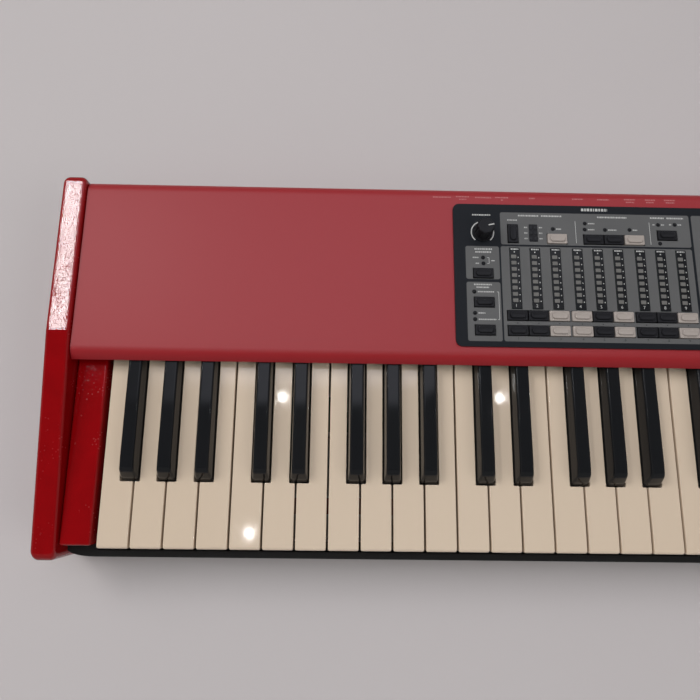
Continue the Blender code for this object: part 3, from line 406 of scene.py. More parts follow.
# Rows in the order of the columns. Scales are per metre and grain depths in millimetres.
finishes = {
    "redLacquer": ((0.27, 0.0014, 0.0032), (0.22, 0.0012, 0.0026), 55, 30, 0.86, 330, 0.25, (0.045, 0.07), 260, 0.1,
                   0.5),
    "redSteel": ((0.275, 0.0035, 0.0075), (0.29, 0.0045, 0.009), 4, 9, 0.86, 300, 0.06, (0.44, 0.5), 1400, 0.006,
                 0.9),
    "blackSteel": ((0.009, 0.0085, 0.0085), (0.013, 0.0125, 0.012), 6, 12, 0.76, 260, 0.12, (0.42, 0.5), 1100, 0.02,
                   0.25),
    "whiteKey": ((0.66, 0.54, 0.415), (0.63, 0.505, 0.38), 5, 22, 0.86, 500, 0.08, (0.05, 0.075), 500, 0.0015, 1.0),
    "blackKey": ((0.0085, 0.009, 0.0103), (0.011, 0.0115, 0.0125), 20, 30, 0.86, 600, 0.1, (0.04, 0.06), 500, 0.001,
                 0.27),
    "darkCap": ((0.01, 0.01, 0.012), (0.014, 0.014, 0.016), 60, 60, 0.78, 900, 0.1, (0.38, 0.46), 2600, 0.008, 0.22),
    "paleCap": ((0.37, 0.325, 0.295), (0.33, 0.29, 0.26), 60, 60, 0.78, 900, 0.1, (0.36, 0.48), 2600, 0.008, 0.3),
    "zinc": ((0.52, 0.52, 0.49), (0.42, 0.42, 0.4), 25, 20, 0.7, 300, 0.15, (0.34, 0.45), 500, 0.008, 0.5),
    "brightSteel": ((0.62, 0.62, 0.63), (0.55, 0.55, 0.56), 40, 50, 0.7, 500, 0.2, (0.18, 0.26), 900, 0.004, 0.5),
    "felt": ((0.26, 0.028, 0.028), (0.2, 0.02, 0.022), 80, 160, 0.55, 900, 0.02, (0.93, 0.98), 2400, 0.12, 0.5),
    "rubber": ((0.014, 0.014, 0.014), (0.022, 0.021, 0.02), 50, 60, 0.7, 500, 0.1, (0.72, 0.85), 1800, 0.03, 0.3),
    "circuit": ((0.02, 0.1, 0.045), (0.03, 0.13, 0.06), 120, 90, 0.58, 420, 0.1, (0.3, 0.4), 600, 0.02, 0.5),
    "supplyMetal": ((0.12, 0.11, 0.1), (0.08, 0.07, 0.065), 60, 40, 0.6, 400, 0.15, (0.4, 0.55), 500, 0.02, 0.5),
    "paleInk": ((0.52, 0.52, 0.5), (0.42, 0.42, 0.41), 120, 120, 0.72, 1500, 0.1, (0.45, 0.55), 2600, 0.002, 0.2),
    "redInk": ((0.5, 0.2, 0.2), (0.42, 0.15, 0.15), 120, 120, 0.72, 1500, 0.1, (0.45, 0.55), 2600, 0.002, 0.2),
    "darkInk": ((0.02, 0.02, 0.022), (0.03, 0.03, 0.032), 120, 120, 0.72, 1500, 0.1, (0.45, 0.55), 2600, 0.002, 0.2),
    "lampLens": ((0.16, 0.155, 0.145), (0.12, 0.117, 0.11), 200, 200, 0.76, 1500, 0.1, (0.28, 0.36), 1800, 0.006,
                 0.2),
    "smokedLens": ((0.008, 0.0085, 0.0095), (0.012, 0.0125, 0.0135), 300, 200, 0.76, 1500, 0.1, (0.2, 0.3), 900,
                   0.002, 0.25),
    "displayGlass": ((0.004, 0.006, 0.008), (0.006, 0.008, 0.011), 30, 40, 0.76, 700, 0.2, (0.05, 0.09), 400, 0.001,
                     0.4),
}
paint = {name: surfaceMaterial(name, row) for name, row in finishes.items()}
print("finishes made:", len(paint))


# Camera and light

view = {"place": (-0.33258, -0.08399, 0.51445), "tilt": 1.35857, "yaw": -0.06883, "roll": -0.08282,
        "focalPixels": 600.0, "framePixels": 700.0, "sensor": 36.0}


# The camera looks down by the tilt, then turns about Z by the yaw and about its own axis by the roll.
def buildCamera():
    data = bpy.data.cameras.new("camera")
    data.sensor_width = view["sensor"]
    data.lens = view["sensor"] * view["focalPixels"] / view["framePixels"]
    data.clip_start = 0.01
    made = bpy.data.objects.new("camera", data)
    bpy.context.scene.collection.objects.link(made)
    bpy.context.scene.camera = made
    yawed = Matrix.Rotation(view["yaw"], 3, "Z")
    forward = yawed @ Vector((0, math.cos(view["tilt"]), -math.sin(view["tilt"])))
    right = yawed.col[0].copy()
    down = forward.cross(right)
    c, s = math.cos(view["roll"]), math.sin(view["roll"])
    pose = Matrix((c * right + s * down, s * right - c * down, -forward)).transposed().to_4x4()
    pose.translation = view["place"]
    made.matrix_world = pose


studio = {"floorColour": (0.52, 0.485, 0.48), "floorSize": 40.0, "horizon": (0.24, 0.235, 0.235),
          "ceiling": (1.20, 1.22, 1.38), "ceilingRises": (0.145, 0.165), "ceilingFades": (0.62, 0.95), "skew": 0.7,
          "skewFrom": 0.12, "sideRises": (-0.42, -0.16), "shade": (0.05, 0.05, 0.05), "shadeFades": (0.55, 0.85),
          "lowest": 0.02}
# Each lamp: place, the point it is aimed at, size, power, and whether it gives light only. The strip also shows in
# the left cheek's gloss, and the three bulbs in the keys'.
lamps = {
    "windowLamp": ((-3.0, 1.3, 2.8), (0.0, 0.0, 0.0), (1.8, 1.8), 50.0, True),
    "ceilingLamp": ((-0.3, -0.05, 2.6), (-0.3, -0.05, 0.0), (1.4, 1.4), 23.0, True),
    "rightLamp": ((1.7, -0.9, 2.1), (0.2, 0.0, 0.0), (1.3, 1.3), 13.0, True),
    "stripLamp": ((-1.185, 0.587, 1.42), (-0.541, 0.079, 0.0865), (0.036, 0.58), 3.5, False),
}
bulb = {"radius": 0.013, "power": 0.5}
bulbs = {"bulbLeft": (-0.714, -0.315, 2.3), "bulbMiddle": (-0.595, 0.272, 2.3), "bulbRight": (0.387, 0.282, 2.3)}


# Sky seen by the piano: a bright ceiling towards the rear, shade right above its front, and a dim horizon. The
# slopes are the direction's x and y over its height.
def buildWorld():
    world = bpy.data.worlds.new("studio")
    bpy.context.scene.world = world
    world.use_nodes = True
    tree = world.node_tree
    direction = tree.nodes.new("ShaderNodeTexCoord").outputs["Generated"]
    parts = tree.nodes.new("ShaderNodeSeparateXYZ")
    tree.links.new(direction, parts.inputs[0])
    height = addMath(tree, "MAXIMUM", parts.outputs[2], studio["lowest"])
    back = addMath(tree, "DIVIDE", parts.outputs[1], height)
    side = addMath(tree, "DIVIDE", parts.outputs[0], height)
    skewed = addMath(tree, "MAXIMUM", addMath(tree, "SUBTRACT", side, studio["skewFrom"]), 0.0)
    skewed = addMath(tree, "MULTIPLY_ADD", skewed, -studio["skew"], back)
    near = addStep(tree, skewed, *studio["ceilingRises"])
    far = addInverse(tree, addStep(tree, back, *studio["ceilingFades"]))
    left = addStep(tree, side, *studio["sideRises"])
    zone = addMath(tree, "MULTIPLY", addMath(tree, "MULTIPLY", near, far), left)
    over, beside = (addInverse(tree, addStep(tree, addMath(tree, "ABSOLUTE", slope), *studio["shadeFades"]))
                    for slope in (back, side))
    over = addMath(tree, "MULTIPLY", over, beside)
    dim = mixColours(tree, over, studio["horizon"], studio["shade"])
    colour = mixColours(tree, zone, dim, studio["ceiling"])
    tree.links.new(colour, tree.nodes["Background"].inputs["Color"])


# A lamp's matrix: its own -Z points along the given direction.
def lookMatrix(place, direction):
    back = -np.array(direction)
    side = unit(np.cross((0.0, 1.0, 0.0), back))
    up = np.cross(back, side)
    made = Matrix(np.column_stack([side, up, back]).tolist()).to_4x4()
    made.translation = place
    return made


def addLight(name, kind, power):
    data = bpy.data.lights.new(name, kind)
    data.energy = power
    made = bpy.data.objects.new(name, data)
    bpy.context.scene.collection.objects.link(made)
    return made, data


def buildLights():
    for name, (place, aim, size, power, lightOnly) in lamps.items():
        made, data = addLight(name, "AREA", power)
        made.visible_glossy = not lightOnly
        data.shape = "RECTANGLE"
        data.size, data.size_y = size
        made.matrix_world = lookMatrix(place, unit(np.array(aim) - np.array(place)))
    for name, place in bulbs.items():
        made, data = addLight(name, "POINT", bulb["power"])
        data.shadow_soft_size = bulb["radius"]
        made.location = place


def buildStudio():
    scene = bpy.context.scene
    scene.view_settings.view_transform = "Standard"
    buildWorld()
    buildLights()
    half = studio["floorSize"] / 2
    mesh = bpy.data.meshes.new("floor")
    mesh.from_pydata([(-half, -half, 0), (half, -half, 0), (half, half, 0), (-half, half, 0)], [], [(0, 1, 2, 3)])
    mesh.materials.append(floorMaterial())
    floor = bpy.data.objects.new("floor", mesh)
    scene.collection.objects.link(floor)


def floorMaterial():
    made, tree, shader, place = startMaterial("floorPaint", {"Roughness": 0.8, "Specular IOR Level": 0.2})
    cloud = placeGroup(tree, cloudGroup, place, Scale=1.3, Level=0.5, Softness=0.3)
    darker = tuple(0.96 * v for v in studio["floorColour"])
    tree.links.new(mixColours(tree, cloud, studio["floorColour"], darker), shader.inputs["Base Color"])
    grain = placeGroup(tree, grainGroup, place, Scale=300.0)
    addBump(tree, shader, grain, 0.02 * mm)
    return made


buildCamera()
buildStudio()
print("camera and studio ready")


# Keys. In a key's own frame X starts at the left edge of its slot, Y at the white fronts and Z at the white tops.

keys = {"pitch": 23.5, "gap": 1.0, "length": 219.5, "depth": 18.0, "wall": 1.8, "topWall": 2.2,
        "places": {1: 0.916, 3: 2.10, 6: 3.87, 8: 5.0, 10: 6.15}, "whiteSteps": (0, 2, 4, 5, 7, 9, 11),
        "names": ("C", "Cs", "D", "Ds", "E", "F", "Fs", "G", "Gs", "A", "As", "B"),
        "firstStep": 5, "count": 73, "single": 24, "comb": 24, "hingeY": 210.0, "hingeDrop": 12.0,
        "groove": 2.3, "saddleStart": 205.0, "saddleLap": 0.2, "tailCorner": 0.3}
whiteKey = {"corner": 1.2, "side": 0.22, "edge": 0.5, "frontRadius": 2.0, "frontReach": 7.0, "notch": 0.8,
            "slot": 14.5, "shoulder": 47.0, "footEdge": 0.3, "skirt": 6.0}
blackKey = {"width": 13.1, "topWidth": 9.6, "front": 48.0, "setback": 7.2, "height": 11.3, "fall": 1.5,
            "end": 150.0, "drop": 2.0, "tailShort": 3.0, "corner": 2.0, "edge": 1.5, "frontRadius": 3.2,
            "frontReach": 10.0, "lap": 0.4, "stations": (0.0, 0.35, 0.7)}
keyLow, keyHigh = inMm(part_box("key_F1"))
keyPlace = {"x": keyLow[0] - keys["gap"] / 2, "y": keyLow[1], "z": keyHigh[2]}


# Makes the front edge of a stack rounder than its sides: rows near the front move back and down in proportion.
def softFront(rings, front, top, edge, radius, reach):
    near = np.clip(1 - (rings[..., 1] - front) / reach, 0, 1)
    near = near * near * (3 - 2 * near)
    depth = np.clip((top - rings[..., 2]) / edge, 0, 1)
    rise = np.where(rings[..., 2] > top - edge - 1e-6, 1.0, 0.0)
    across = 1 - np.sqrt(np.clip(1 - (1 - depth) ** 2, 0, 1))
    rings[..., 1] += near * rise * across * (radius - edge)
    rings[..., 2] -= near * rise * depth * (radius - edge)
    return rings


def tailSpan(step, last):
    left, right = 0.0, keys["pitch"]
    lowEdge = keys["whiteSteps"].index(step)
    for place in keys["places"].values():
        centre = (place - lowEdge) * keys["pitch"]
        if 0 < centre + whiteKey["slot"] / 2 < keys["pitch"] / 2:
            left = centre + whiteKey["slot"] / 2
        if keys["pitch"] / 2 < centre - whiteKey["slot"] / 2 < keys["pitch"] and not last:
            right = centre - whiteKey["slot"] / 2
    return left, right


# Block behind the key's shell with the slot that rides on the rod, as a side outline carried along X.
def saddle(x0, x1, end, top):
    y, z, r = keys["hingeY"], -keys["hingeDrop"], keys["groove"]
    t = np.linspace(math.pi, 0, 13)
    arch = np.column_stack([y + r * np.cos(t), z + r * np.sin(t)])
    low = -keys["depth"]
    start = keys["saddleStart"] - keys["saddleLap"]
    behind = [(y + r, low), (end, low), (end, top), (start, top)]
    outline = np.concatenate([[(start, low), (y - r, low)], arch, behind])
    return ringShape(np.roll([lifted(outline, x) for x in (x0, x1)], 1, -1))


# White key: a wall round its outline, turned over at the top edge, with the underside open.
def whiteKeyShape(step, last):
    left, right = tailSpan(step, last)
    half = keys["gap"] / 2 + whiteKey["side"]
    x0, x1, end = half, keys["pitch"] - half, keys["saddleStart"]
    corner, reach, notch, shoulder = (whiteKey[n] for n in ("corner", "frontReach", "notch", "shoulder"))
    tail, foot, low = keys["tailCorner"], whiteKey["footEdge"], -keys["depth"]
    corners = [(x0, 0, corner), (x1, 0, corner), (x1, reach, 0)]
    if right < keys["pitch"]:
        corners += [(x1, shoulder, notch), (right, shoulder, notch), (right, end, tail)]
    else:
        corners.append((x1, end, tail))
    if left > 0:
        corners += [(left, end, tail), (left, shoulder, notch), (x0, shoulder, notch)]
    else:
        corners.append((x0, end, tail))
    corners.append((x0, reach, 0))
    levels = [(keys["wall"], -keys["topWall"]), (keys["wall"], low), (foot, low), (0.0, foot + low),
              (0.0, -whiteKey["skirt"])] + roundOver(whiteKey["edge"], 0.0, 5)
    rings = stackRings(corners, levels, 5)
    rings = softFront(rings, 0.0, 0.0, whiteKey["edge"], whiteKey["frontRadius"], reach)
    return together([ringShape(rings), saddle(max(left, x0), min(right, x1), keys["length"], 0.0)])


# Black key about its centre: a cap that tapers and leans back as it rises, on a lower hollow shank.
def blackKeyShape():
    half, front, end = blackKey["width"] / 2, blackKey["front"], blackKey["end"]
    high, edge, reach = blackKey["height"], blackKey["edge"], blackKey["frontReach"]
    corner = blackKey["corner"]
    tail = keys["tailCorner"]
    corners = [(-half, front, corner), (half, front, corner), (half, front + reach, 0), (half, end, tail),
               (-half, end, tail), (-half, front + reach, 0)]
    walls = [(0.0, z) for z in (-blackKey["drop"] - blackKey["lap"], *(high * at for at in blackKey["stations"]))]
    rings = stackRings(corners, walls + roundOver(edge, high, 6), 5)
    rings = softFront(rings, front, high, edge, blackKey["frontRadius"], reach)
    risen = np.clip(rings[..., 2] / high, 0, 1)
    along = (rings[..., 1] - front) / (end - front)
    rings[..., 0] *= 1 - risen * (1 - blackKey["topWidth"] / blackKey["width"])
    rings[..., 1] += blackKey["setback"] * risen * np.clip(1 - along, 0, 1)
    rings[..., 2] -= blackKey["fall"] * risen * along
    top = -blackKey["drop"]
    shank = rectangle(-half, half, front + 1, keys["saddleStart"], 0.4)
    wall, low = keys["wall"], -keys["depth"]
    levels = [(wall, top - keys["topWall"]), (wall, low), (0.0, low), (0.0, top)]
    saddled = saddle(-half, half, keys["length"] - blackKey["tailShort"], top)
    return together([ringShape(rings), stackShape(shank, levels, 2), saddled])


def keyLayout():
    made, whites = [], 0
    octaveLeft = -keys["whiteSteps"].index(keys["firstStep"])
    for index in range(keys["count"]):
        step = (keys["firstStep"] + index) % 12
        if step == 0:
            octaveLeft = whites
        black = step in keys["places"]
        x = ((octaveLeft + keys["places"][step]) if black else whites) * keys["pitch"] + keyPlace["x"]
        whites += not black
        name = f"key_{keys['names'][step]}{1 + (keys['firstStep'] + index) // 12}"
        made.append({"name": name, "black": black, "step": step, "x": x, "last": index == keys["count"] - 1})
    return made


def buildKeys():
    black = blackKeyShape()
    white = {(step, False): whiteKeyShape(step, False) for step in keys["whiteSteps"]}
    white[keys["firstStep"], True] = whiteKeyShape(keys["firstStep"], True)

    def placed(key):
        shape = black if key["black"] else white[key["step"], key["last"]]
        return moved(shape, key["x"], keyPlace["y"], keyPlace["z"])

    def finish(key):
        return (paint["blackKey"], "black_key_plastic") if key["black"] else (paint["whiteKey"], "white_key_plastic")

    layout = keyLayout()
    for key in layout[:keys["single"]]:
        material, slot = finish(key)
        makePiece(key["name"] + "_fine", [placed(key)], material, key["name"], [key["name"]])
    rest = layout[keys["single"]:]
    for group, members in (("middle", rest[:keys["comb"]]), ("top", rest[keys["comb"]:])):
        for tone in ("white", "black"):
            node = f"{tone}_keys_{group}"
            chosen = [key for key in members if key["black"] == (tone == "black")]
            material, slot = finish(chosen[0])
            bridge = combBridge(node, tone)
            makePiece(node + "_fine", [placed(key) for key in chosen] + bridge, material, bodyOf[node], [node])


# Per tone: how far the strip reaches forward, and its bottom and top over the white keys' tops.
bridge = {"inset": 2.0, "corner": 0.5, "edge": 0.3, "white": (5.0, -9.0, -4.5), "black": (4.0, -2.5, 4.0)}


# The strip that joins a comb's keys behind the hinge.
def combBridge(node, tone):
    low, high = inMm(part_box(node))
    reach, under, over = bridge[tone]
    rear = high[1] if tone == "white" else keyPlace["y"] + keys["length"] - blackKey["tailShort"]
    plan = rectangle(low[0] + bridge["inset"], high[0] - bridge["inset"], rear - reach, rear, bridge["corner"])
    return [block(plan, keyPlace["z"] + under, keyPlace["z"] + over, bridge["edge"], 2)]


buildKeys()
print("keys made:", keys["count"])


# Case

cheek = {"edge": 2.2, "rearRadius": 5.0, "noseRadius": 6.5, "creaseRadius": 8.0, "creaseY": 19.5, "frontTop": 70.0,
         "footRadius": 1.5, "rim": 0.022, "rimPlace": 2.35, "rimWide": 0.42, "rimRows": (0.15, 4.6), "faceRow": 6.0,
         "rearFlat": 0.8, "creaseFlat": 1.6, "cornerRadius": 5.0, "cornerReach": 22.0}


# Cheek: its side outline carried across its thickness, drawn in at both faces by a quarter circle. The lacquer
# stands up in a low rim beside each edge: a bell curve of the depth. In plan the ends are rounder: their rows move
# in by what a larger circle takes off over the smaller one.
def cheekShape(low, high):
    y0, y1, z0, z1 = low[1], high[1], low[2], high[2]
    rearStation = y1 - cheek["rearRadius"] - cheek["rearFlat"]
    creaseStation = cheek["creaseY"] + cheek["creaseFlat"]
    corners = [(y0, z0, cheek["footRadius"]), (y1, z0, cheek["footRadius"]), (y1, z1, cheek["rearRadius"]),
               (rearStation, z1, 0), (creaseStation, z1, 0), (cheek["creaseY"], z1, cheek["creaseRadius"]),
               (y0, cheek["frontTop"], cheek["noseRadius"])]
    middle, half = (low[0] + high[0]) / 2, (high[0] - low[0]) / 2
    edge, wide = cheek["edge"], cheek["cornerRadius"]
    t = np.linspace(0, math.pi / 2, 7)
    first, last = cheek["rimRows"]
    rows = [*np.linspace(edge + first, last, 13), cheek["faceRow"]]
    depth = np.concatenate([edge * (1 - np.sin(t))[::-1], rows])
    inset = np.concatenate([edge * (1 - np.cos(t))[::-1], np.zeros(len(rows))])
    risen = np.exp(-((depth - cheek["rimPlace"]) / cheek["rimWide"]) ** 2) * np.clip(depth / edge, 0, 1)
    inset = inset + cheek["rim"] * (1 - risen)
    levels = sorted(zip(inset, middle - half + depth), key=lambda level: level[1])
    levels = levels + [(i, 2 * middle - x) for i, x in reversed(levels)]
    rings = stackRings(corners, levels, 10, 1)
    fromFace = half - np.abs(rings[..., 0] - middle)

    def taken(radius):
        return radius - np.sqrt(np.clip(radius ** 2 - np.clip(radius - fromFace, 0, radius) ** 2, 0, None))

    more = taken(wide) - taken(edge)
    for end, sign in ((y0, 1), (y1, -1)):
        near = np.clip(1 - np.abs(rings[..., 1] - end) / cheek["cornerReach"], 0, 1)
        rings[..., 1] += sign * more * near
    return ringShape(rings)


def buildCheeks():
    for name in ("left_cheek", "right_cheek"):
        low, high = inMm(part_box(name))
        makePiece(name + "_fine", [cheekShape(low, high)], paint["redLacquer"], replaces=[name])


keyBlock = {"edge": 1.6, "corner": 1.6, "foot": 0.4, "flat": 0.5}


def buildKeyBlocks():
    for name in ("left_key_block", "right_key_block"):
        low, high = inMm(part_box(name))
        corners = rectangle(low[0], high[0], low[1], high[1], keyBlock["corner"])
        levels = [(keyBlock["foot"], low[2]), (0.0, low[2] + keyBlock["foot"])]
        levels += roundOver(keyBlock["edge"], high[2], 5, keyBlock["flat"])
        makePiece(name + "_fine", [stackShape(corners, levels, 5)], paint["redLacquer"],
                  replaces=[name])


cover = {"thickness": 1.5, "rollRadius": 12.5, "rollAngle": 45.0, "lip": 1.5, "flatStart": 144.0, "rearRadius": 9.0,
         "panelX": (-243.4, 475.4), "panelY": (17.2, 121.4), "socketX": (-265.0, -66.5), "socketZ": (27.0, 47.0),
         "inletX": (326.0, 378.0), "inletZ": (25.0, 49.0), "stationsX": (-400.0, 200.0), "stationsY": (60.0, 128.0)}


# Folded cover: a side line of roll, flat top, bend and rear wall carried along X as a grid, without the cells
# of its three openings, then given its sheet thickness inwards.
def buildCover():
    low, high = inMm(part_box("top_cover"))
    top, rear = high[2], high[1]
    roll, bend = cover["rollRadius"], cover["rearRadius"]
    flatY = keyPlace["y"] + cover["flatStart"]
    t = np.radians(np.linspace(90 + cover["rollAngle"], 90, 13))
    front = np.column_stack([flatY + roll * np.cos(t), top - roll + roll * np.sin(t)])
    slope = math.radians(cover["rollAngle"])
    lip = front[0] - cover["lip"] * np.array((math.cos(slope), math.sin(slope)))
    flat = np.array([(y, top) for y in sorted({*cover["panelY"], *cover["stationsY"]})])
    t = np.radians(np.linspace(90, 0, 13))
    back = np.column_stack([rear - bend + bend * np.cos(t), top - bend + bend * np.sin(t)])
    heights = sorted({*cover["socketZ"], *cover["inletZ"], low[2]}, reverse=True)
    wall = np.array([(rear, z) for z in heights])
    line = np.concatenate([[lip], front, flat, back, wall])
    xs = np.array(sorted({low[0], high[0], *cover["panelX"], *cover["socketX"], *cover["inletX"],
                          *cover["stationsX"]}))
    points = np.empty((len(line), len(xs), 3))
    points[..., 0] = xs
    points[..., 1:] = line[:, None]
    middle = (points[:-1, :-1] + points[1:, 1:]) / 2
    x, y, z = middle[..., 0], middle[..., 1], middle[..., 2]

    def within(value, span):
        return (value > span[0]) & (value < span[1])

    onTop = z > top - 0.01
    onRear = y > rear - 0.01
    gone = onTop & within(x, cover["panelX"]) & within(y, cover["panelY"])
    for window in ("socket", "inlet"):
        gone |= onRear & within(x, cover[window + "X"]) & within(z, cover[window + "Z"])
    made = makePiece("cover_fine", [sheetShape(points, ~gone)], paint["redSteel"],
                     replaces=["top_cover"])
    thicken = made.modifiers.new("sheet", "SOLIDIFY")
    thicken.thickness = cover["thickness"] * mm
    thicken.offset = -1.0
    thicken.use_even_offset = True
    made.data = bpy.data.meshes.new_from_object(made.evaluated_get(bpy.context.evaluated_depsgraph_get()))
    made.modifiers.clear()
    made.data.set_sharp_from_angle(angle=sharpAngle)  # again, now that the sheet has its cut edges


foot = {"radius": 13.0, "taper": 1.8, "recess": 4.0, "recessDepth": 2.5}


def buildFeet():
    for name in ("foot_front_left", "foot_front_right", "foot_back_left", "foot_back_right"):
        low, high = inMm(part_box(name))
        centre = (low + high) / 2
        low, high, wide = low[2], high[2], foot["radius"]
        sole = wide - foot["taper"]
        profile = [(0.8, low + foot["recessDepth"]), (foot["recess"], low + foot["recessDepth"]),
                   (foot["recess"], low + 0.4), (foot["recess"] + 0.4, low), (sole - 0.8, low),
                   (sole - 0.2, low + 0.25), (sole, low + 0.8), (wide - 0.3, high - 1.5), (wide, high - 0.6),
                   (wide - 0.2, high), (0.8, high)]
        makePiece(name + "_fine", [turned(profile, centre[:2], 48)], paint["rubber"], replaces=[name])


buildCheeks()
buildKeyBlocks()
buildCover()
buildFeet()
print("case made")


# Control panel

panel = {"top": 84.3, "patchRadius": 1.6, "border": (0.0105, 0.012, 0.015), "grey": (0.112, 0.112, 0.112),
         "patches": [(-211.5, -64.3, 93.1, 119.5), (-212.0, -64.5, 16.9, 91.6), (-239.0, -213.3, 64.9, 91.3),
                     (-239.0, -213.3, 16.8, 62.6), (-62.5, 55.0, 16.9, 119.5), (57.5, 180.0, 16.9, 119.5),
                     (182.5, 474.0, 16.9, 119.5)]}
columns = {"start": -201.5, "pitch": 15.7, "tripleGap": 1.2, "count": 9}


def columnX(index, start=columns["start"]):
    return start + index * columns["pitch"] + (index // 3) * columns["tripleGap"]


# Panel print: grey patches on a blue-black ground, each mask taken from the distance to a round rectangle.
def panelMaterial():
    made, tree, shader, place = startMaterial("panelPrint", {"Specular IOR Level": 0.15})
    mask = None
    for x0, x1, y0, y1 in panel["patches"]:
        patch = placeGroup(tree, patchGroup, place, Centre=((x0 + x1) / 2 * mm, (y0 + y1) / 2 * mm, 0.0),
                           Half_Size=((x1 - x0) / 2 * mm, (y1 - y0) / 2 * mm, 0.0), Radius=panel["patchRadius"] * mm)
        mask = patch if mask is None else addMath(tree, "MAXIMUM", mask, patch)
    cloud = placeGroup(tree, cloudGroup, place, Scale=16.0, Level=0.5, Softness=0.25)
    grey = mixColours(tree, cloud, panel["grey"], tuple(0.9 * v for v in panel["grey"]))
    tree.links.new(mixColours(tree, mask, panel["border"], grey), shader.inputs["Base Color"])
    specks = placeGroup(tree, speckGroup, place, Scale=700.0)
    rough = addMath(tree, "MULTIPLY_ADD", mask, 0.06, mixValues(tree, cloud, 0.40, 0.47))
    tree.links.new(addMath(tree, "MULTIPLY_ADD", specks, 0.15, rough), shader.inputs["Roughness"])
    grain = placeGroup(tree, grainGroup, place, Scale=2200.0)
    addBump(tree, shader, grain, 0.01 * mm)
    return made


button = {"wide": 15.0, "deep": 7.8, "corner": 0.7, "padWide": 12.2, "padDeep": 5.4, "padCorner": 1.5,
          "flangeUp": 1.2, "padUp": 2.4, "low": 79.2, "webDeep": 3.0, "webLow": 79.5, "webHigh": 1.2}
upperY, lowerY = 36.8, 25.2
programStart = -30.0
toneOrder = "ddppdpddp"  # d dark and p pale caps, from the left


def buttonRow(y, start=columns["start"]):
    return [(columnX(index, start), y, tone) for index, tone in enumerate(toneOrder)]


strips = {
    "drawbar_buttons_upper": buttonRow(upperY),
    "drawbar_buttons_lower": buttonRow(lowerY),
    "effect_row_buttons": [(-168.1, 98.2, "p"), (-140.0, 98.2, "d"), (-124.2, 98.2, "d"), (-108.4, 98.2, "p"),
                           (-82.5, 102.6, "d")],
    "mode_button": [(-202.1, 102.0, "d")],
    "model_button": [(-226.0, 69.5, "d")],
    "rotary_buttons": [(-226.0, 46.8, "d"), (-226.0, 25.2, "d")],
    "program_buttons": buttonRow(upperY, programStart),
}


# Button cap: a flange with a raised pad whose top is slightly hollow.
def capShape(x, y, upright=False):
    wide, deep, padWide, padDeep = (button[n] for n in ("wide", "deep", "padWide", "padDeep"))
    if upright:
        wide, deep, padWide, padDeep = deep, wide, padDeep, padWide
    flangeTop = panel["top"] + button["flangeUp"]
    padTop = panel["top"] + button["padUp"]
    flange = stackShape(centredRectangle(x, y, wide, deep, button["corner"]),
                        [(0.0, button["low"])] + roundOver(0.4, flangeTop, 3), 3)
    levels = [(-0.1, flangeTop - 0.1), (0.05, flangeTop + 0.05), (0.3, padTop - 0.5)]
    levels += [(0.3 + inset, height) for inset, height in roundOver(0.5, padTop, 4, 0.4)[1:]]
    levels += [(1.8, padTop - 0.12), (2.3, padTop - 0.16)]
    pad = stackShape(centredRectangle(x, y, padWide, padDeep, button["padCorner"] + 1.0), levels, 5)
    return together([flange, pad])


def buildButtons():
    for node, caps in strips.items():
        xs, ys, _ = zip(*caps)
        shapes = {"d": [], "p": []}
        for x, y, tone in caps:
            shapes[tone].append(capShape(x, y, node == "mode_button"))
        if len(caps) > 1:
            half = button["webDeep"] / 2
            web = rectangle(min(xs) - half, max(xs) + half, min(ys) - half, max(ys) + half, 0.3)
            shapes["d"].append(block(web, button["webLow"], button["webLow"] + button["webHigh"], 0.2, 2))
        makePiece(node + "_dark", shapes["d"], paint["darkCap"], bodyOf[node], replaces=[node])
        if shapes["p"]:
            makePiece(node + "_pale", shapes["p"], paint["paleCap"], bodyOf[node])


knob = {"skirt": 7.6, "skirtHigh": 1.2, "radius": 6.9, "lift": 0.6, "height": 12.5, "ribs": 9, "ribDepth": 0.6,
        "shaft": 3.0, "around": 144}


# Knob: a turned profile whose radius is taken in by narrow flutes, rib depth times a power of a cosine.
def knobShape(x, y, low):
    base = panel["top"] + knob["lift"]
    top = base + knob["height"]
    body, skirt, shaft = knob["radius"], knob["skirt"], knob["shaft"]
    ledge = base + knob["skirtHigh"]
    profile = np.array([  # radius, height and the flutes' share
        (0.5, low, 0), (shaft, low, 0), (shaft, base, 0), (skirt - 0.2, base, 0), (skirt, base + 0.2, 0),
        (skirt, ledge - 0.3, 0), (skirt - 0.3, ledge, 0), (body + 0.1, ledge + 0.2, 0.2), (body, base + 2.0, 1),
        (body - 0.25, top - 2.0, 1), (body - 0.4, top - 0.9, 0.9), (body - 0.7, top - 0.35, 0.6),
        (body - 1.2, top - 0.06, 0.25), (body - 1.8, top, 0), (body - 3.0, top - 0.12, 0), (0.5, top - 0.3, 0)])
    angle = np.linspace(0, 2 * math.pi, knob["around"], endpoint=False)
    flute = np.abs(np.cos(angle * knob["ribs"] / 2)) ** 6 * knob["ribDepth"]
    radius = profile[:, :1] - profile[:, 2:] * flute
    rings = np.stack([x + radius * np.cos(angle), y + radius * np.sin(angle),
                      np.broadcast_to(profile[:, 1:2], radius.shape)], -1)
    return ringShape(rings)


pointer = {"from": 1.6, "to": 6.1, "wide": 0.9, "rise": 0.12, "sunk": 0.6}
knobTurns = {"level_knob": 12.0, "effect_knob": 90.0, "drive_knob": 90.0, "tone_knob": 90.0}


